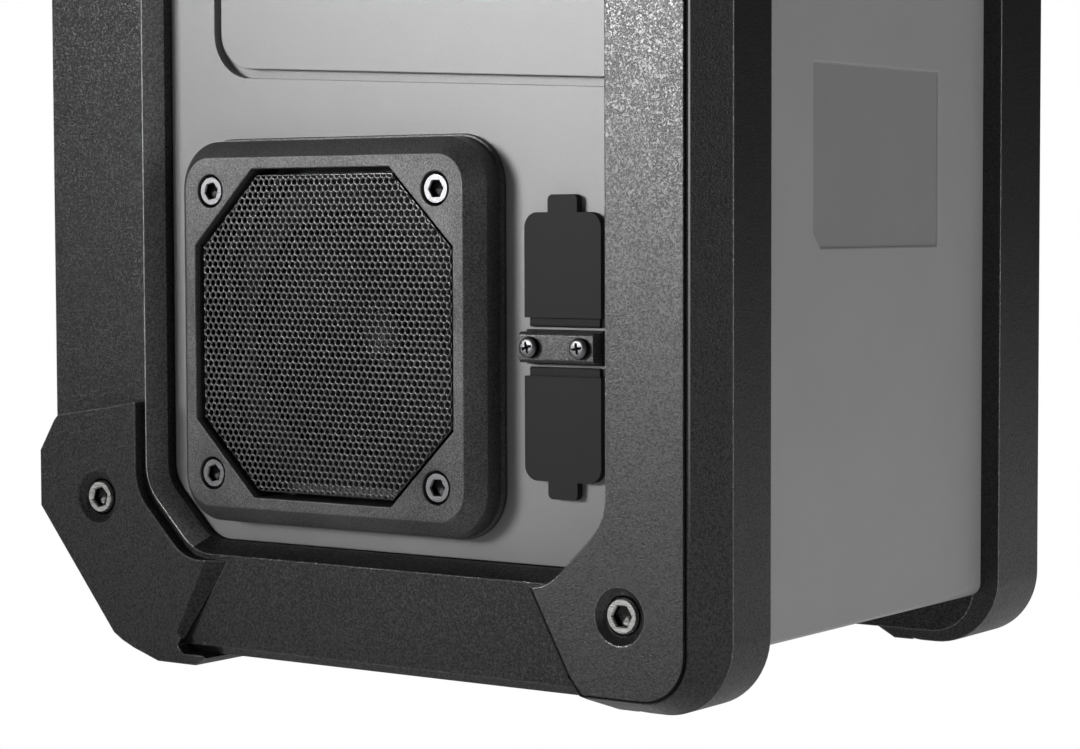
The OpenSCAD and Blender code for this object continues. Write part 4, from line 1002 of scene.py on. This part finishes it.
class RadioCage(bpy.types.Operator):
    """Builds the two rings, the side guards and the corner guards"""
    bl_idname = "radio.cage"
    bl_label = "Cage"

    def execute(self, context):
        for end in ("rear", "front"):
            crisp(end + "_frame", "ring_plastic")
            crisp(end + "_side_guard", creased_guard_plastic(), "guard_edge", segments=3)
            crisp(end + "_corner_guards", "guard_plastic", "guard_edge", segments=3)
        return {"FINISHED"}


class RadioHousing(bpy.types.Operator):
    """Builds the housing's two shells and its side panels"""
    bl_idname = "radio.housing"
    bl_label = "Housing"

    def execute(self, context):
        for shell in ("rear_housing", "front_housing"):
            crisp(shell, "shell_plastic")
        for panel in ("left_side_panel", "right_side_panel"):
            crisp(panel, side_plastic())
        return {"FINISHED"}


class RadioPanels(bpy.types.Operator):
    """Builds the rear and front panels"""
    bl_idname = "radio.panels"
    bl_label = "Panels"

    def execute(self, context):
        for panel in ("rear_panel", "front_panel"):
            crisp(panel, "panel_plastic")
        return {"FINISHED"}


class RadioBezels(bpy.types.Operator):
    """Builds the two speaker bezels"""
    bl_idname = "radio.bezels"
    bl_label = "Speaker Bezels"

    def execute(self, context):
        for bezel in ("rear_bezel", "front_bezel"):
            crisp(bezel, "bezel_plastic", "guard_edge", segments=3)
        return {"FINISHED"}


class RadioGrilles(bpy.types.Operator):
    """Builds the two perforated grilles and the black sheets of painted shade behind them"""
    bl_idname = "radio.grilles"
    bl_label = "Grilles"

    def execute(self, context):
        grille("rear_grille", 20 * MM, -1, 34 * MM)
        grille("front_grille", 25 * MM, 1, 46 * MM)
        return {"FINISHED"}


class RadioScrews(bpy.types.Operator):
    """Builds the visible heads of the cage's, the bezels' and the clamp bar's screws"""
    bl_idname = "radio.screws"
    bl_label = "Screws"

    def execute(self, context):
        heads = [screws("cage_screws", [(x, y, z) for x, z in CAGE_SCREWS],
                        socket_head("cap", 9.7 * MM, 3.4 * MM, 5.0 * MM), finish("zinc_head"), turn)
                 for y, turn in ((-95.0, REAR_TURN), (95.0, FRONT_TURN))]
        settle(joined(heads), "cage_screws")
        for end, (mid_x, mid_z, dx, dz), y, turn in (("rear", REAR_BEZEL, -95.0, REAR_TURN),
                                                     ("front", FRONT_BEZEL, 88.5, FRONT_TURN)):
            node = end + "_bezel_screws"
            places = [(mid_x + sx * dx, y, mid_z + sz * dz) for sx in (-1, 1) for sz in (-1, 1)]
            head = socket_head("bezel_cap", 8.5 * MM, 2.9 * MM, 4.0 * MM)
            settle(screws(node, places, head, black_oxide(abs(y) * MM), turn), node)
        clamp = [(63.6 + side * 7.85, -91.0, 92.1) for side in (-1, 1)]
        pans = screws("clamp_screws", clamp, pan_head("pan", 5.6 * MM, 1.9 * MM), black_oxide(91.0 * MM), REAR_TURN)
        settle(pans, "clamp_screws")
        return {"FINISHED"}


class RadioDrivers(bpy.types.Operator):
    """Builds the speakers' cones and surrounds and paints their baskets and magnets"""
    bl_idname = "radio.drivers"
    bl_label = "Speakers"

    def execute(self, context):
        for end in ("rear", "front"):
            crisp(end + "_cone", "pressed_paper", "small_edge", angle=40.0)
            crisp(end + "_surround", "surround_rubber", "small_edge", angle=40.0)
            repaint(end + "_basket", "surround_rubber")
            repaint(end + "_magnet", "magnet_steel")
        return {"FINISHED"}


class RadioPorts(bpy.types.Operator):
    """Builds the port flaps, their strip, the clamp bar and the sockets behind them"""
    bl_idname = "radio.ports"
    bl_label = "Ports"

    def execute(self, context):
        for flap in ("aux_flap", "dc_flap", "flap_strip"):
            crisp(flap, "soft_rubber")
        crisp("clamp_bar", "bezel_plastic", segments=3)
        for socket in ("aux_socket", "dc_socket"):
            repaint(socket, "dark_plastic")
        return {"FINISHED"}


class RadioBattery(bpy.types.Operator):
    """Builds the battery bay, the pack, the terminals, and the door with its latch and pin"""
    bl_idname = "radio.battery"
    bl_label = "Battery"

    def execute(self, context):
        crisp("battery_door", "panel_plastic")
        crisp("door_latch", "soft_rubber", "small_edge")
        crisp("battery_pack", "dark_plastic")
        crisp("battery_release", "accent_plastic", "small_edge")
        repaint("battery_bay", "shell_plastic")
        repaint("door_hinge_pin", "zinc_plate")
        repaint("battery_terminals", "terminal_brass")
        return {"FINISHED"}


class RadioControls(bpy.types.Operator):
    """Builds the knobs, the buttons and the display"""
    bl_idname = "radio.controls"
    bl_label = "Controls"

    def execute(self, context):
        for knob in ("volume_knob", "tuning_knob"):
            crisp(knob, "soft_rubber", angle=28.0)
        for i in (1, 2, 3):
            crisp("preset_button_%d" % i, "dark_plastic", segments=3)
        crisp("mode_button", "accent_plastic", segments=3)
        crisp("display_lens", display_glass(), "small_edge")
        repaint("display_module", "display_panel")
        display_figures()
        for knob in ("volume_knob", "tuning_knob"):
            pointer(knob)
        for board in ("main_board", "control_board"):
            repaint(board, "solder_mask")
        return {"FINISHED"}


class RadioHandle(bpy.types.Operator):
    """Builds the folding handle with its grip"""
    bl_idname = "radio.handle"
    bl_label = "Handle"

    def execute(self, context):
        crisp("handle_bail", "guard_plastic", "guard_edge", segments=3)
        crisp("handle_grip", "soft_rubber")
        repaint("handle_pins", "zinc_plate")
        return {"FINISHED"}


class RadioAntenna(bpy.types.Operator):
    """Builds the antenna's base and its telescopic tubes"""
    bl_idname = "radio.antenna"
    bl_label = "Antenna"

    def execute(self, context):
        crisp("antenna_base", "dark_plastic")
        for i in (1, 2, 3):
            crisp("antenna_tube_%d" % i, "polished_tube", "small_edge", angle=40.0)
        repaint("antenna_pin", "zinc_plate")
        return {"FINISHED"}


# ---------------- stage

WHITE = (1, 1, 1, 1)
FLOOR_COLOUR = (0.72, 0.72, 0.72, 1)
FLOOR_REACH = 3
STAGE_MIDDLE = (0.0, 0.0, 0.12)

# Each lamp: name, place, what it points at, width, height and power, and its spread in degrees if it is narrowed.
LAMPS = (
    ("key", (-0.635, -1.232, 0.45), (0.13, -0.096, 0.31), 0.5, 0.45, 1.17, 34.0),
    ("side_front", (1.38, -0.27, 0.38), STAGE_MIDDLE, 0.12, 0.9, 2.7),
    ("top", (-0.85, 0.0, 1.37), STAGE_MIDDLE, 0.3, 0.5, 2.5),
    ("side", (1.4, 0.0, 0.35), STAGE_MIDDLE, 0.6, 0.7, 1.8),
    ("far_front", (-0.5, 1.4, 0.5), STAGE_MIDDLE, 0.7, 0.7, 6.0),
    ("far_side", (-1.4, 0.3, 0.5), STAGE_MIDDLE, 0.6, 0.7, 4.0),
)


def split_for_camera(tree, lit, seen, output):
    """Ends a tree with the lit shader for the light's rays and the seen one for the camera's."""
    to_camera = add(tree, "ShaderNodeLightPath")["Is Camera Ray"]
    add(tree, output, add(tree, "ShaderNodeMixShader", to_camera, lit[0], seen[0])[0])


def emptied_tree(owner):
    """The node tree of a world or a material, without any node."""
    owner.use_nodes = True
    owner.node_tree.nodes.clear()
    return owner.node_tree


def studio_world():
    """Even pale light all round, and white behind the object."""
    world = bpy.data.worlds.new("studio")
    tree = emptied_tree(world)
    _, _, z = axes(tree, add(tree, "ShaderNodeTexCoord")["Generated"])
    lit = add(tree, "ShaderNodeBackground", Strength=ramp(tree, z, -0.3, 1.0, 0.03, 0.10))
    split_for_camera(tree, lit, add(tree, "ShaderNodeBackground", Color=WHITE), "ShaderNodeOutputWorld")
    bpy.context.scene.world = world


def floor_stage():
    """A white floor that lights the object from below, and is plain white to the camera."""
    r = FLOOR_REACH
    mesh = mesh_of("floor", [(-r, -r, 0), (r, -r, 0), (r, r, 0), (-r, r, 0)], [(0, 1, 2, 3)])
    material = bpy.data.materials.new("floor_white")
    tree = emptied_tree(material)
    matt = add(tree, "ShaderNodeBsdfDiffuse", Color=FLOOR_COLOUR)
    glow = ramp(tree, size_of(tree, object_place(tree)), 0.25, 1.3, 0.34, 0.08)
    lit = add(tree, "ShaderNodeAddShader", matt[0], add(tree, "ShaderNodeEmission", Strength=glow)[0])
    split_for_camera(tree, lit, add(tree, "ShaderNodeEmission", Color=WHITE), "ShaderNodeOutputMaterial")
    link_object("floor", mesh, material)


def area_light(name, place, target, width, height, power, spread=180.0):
    data = with_settings(bpy.data.lights.new(name, "AREA"), shape="RECTANGLE", size=width, size_y=height,
                         energy=power, spread=math.radians(spread))
    turn = (Vector(target) - Vector(place)).to_track_quat("-Z", "Y").to_euler()
    with_settings(link_object(name, data), location=place, rotation_euler=turn)


def photo_camera():
    """The camera at the photo's angle, by its right and upward directions and its place."""
    right = Vector((0.81579, 0.57834, -0.00318))
    up = Vector((-0.0295, 0.0471, 0.99845))
    data = with_settings(bpy.data.cameras.new("photo_camera"), sensor_width=36.0, sensor_fit="HORIZONTAL",
                         lens=92.53, clip_start=0.01)
    camera = link_object("photo_camera", data)
    turn = Matrix((right, up, right.cross(up))).transposed().to_4x4()
    camera.matrix_world = Matrix.Translation((0.47276, -0.67285, 0.12492)) @ turn
    bpy.context.scene.camera = camera


class RadioStage(bpy.types.Operator):
    """Sets the floor, the lights, the world and the camera"""
    bl_idname = "radio.stage"
    bl_label = "Stage"

    def execute(self, context):
        studio_world()
        photo_camera()
        floor_stage()
        for lamp in LAMPS:
            area_light(*lamp)
        bpy.context.scene.view_settings.view_transform = "Standard"
        return {"FINISHED"}


# ---------------- add-on

STEPS = (RadioCage, RadioHousing, RadioPanels, RadioBezels, RadioGrilles, RadioScrews, RadioDrivers,
         RadioPorts, RadioBattery, RadioControls, RadioHandle, RadioAntenna, RadioStage)


class RadioPanel(bpy.types.Panel):
    """Lists the radio's settings and the steps that build it"""
    bl_idname = "VIEW3D_PT_radio"
    bl_label = "Caged Radio"
    bl_space_type = "VIEW_3D"
    bl_region_type = "UI"
    bl_category = "Radio"

    def draw(self, context):
        column = self.layout.column(align=True)
        for piece in STEPS:
            column.operator(piece.bl_idname)
        for group in (context.scene.radio_sizes, context.scene.radio_colours):
            box = self.layout.box().column(align=True)
            for name in group.__annotations__:
                box.prop(group, name)


CLASSES = (RadioSizes, RadioColours) + STEPS + (RadioPanel,)


def register():
    for kind in CLASSES:
        bpy.utils.register_class(kind)
    bpy.types.Scene.radio_sizes = PointerProperty(type=RadioSizes)
    bpy.types.Scene.radio_colours = PointerProperty(type=RadioColours)


def unregister():
    del bpy.types.Scene.radio_colours
    del bpy.types.Scene.radio_sizes
    for kind in reversed(CLASSES):
        bpy.utils.unregister_class(kind)


def main():
    register()
    for piece in STEPS:
        group, name = piece.bl_idname.split(".")
        getattr(getattr(bpy.ops, group), name)()


if __name__ == "__main__":
    main()
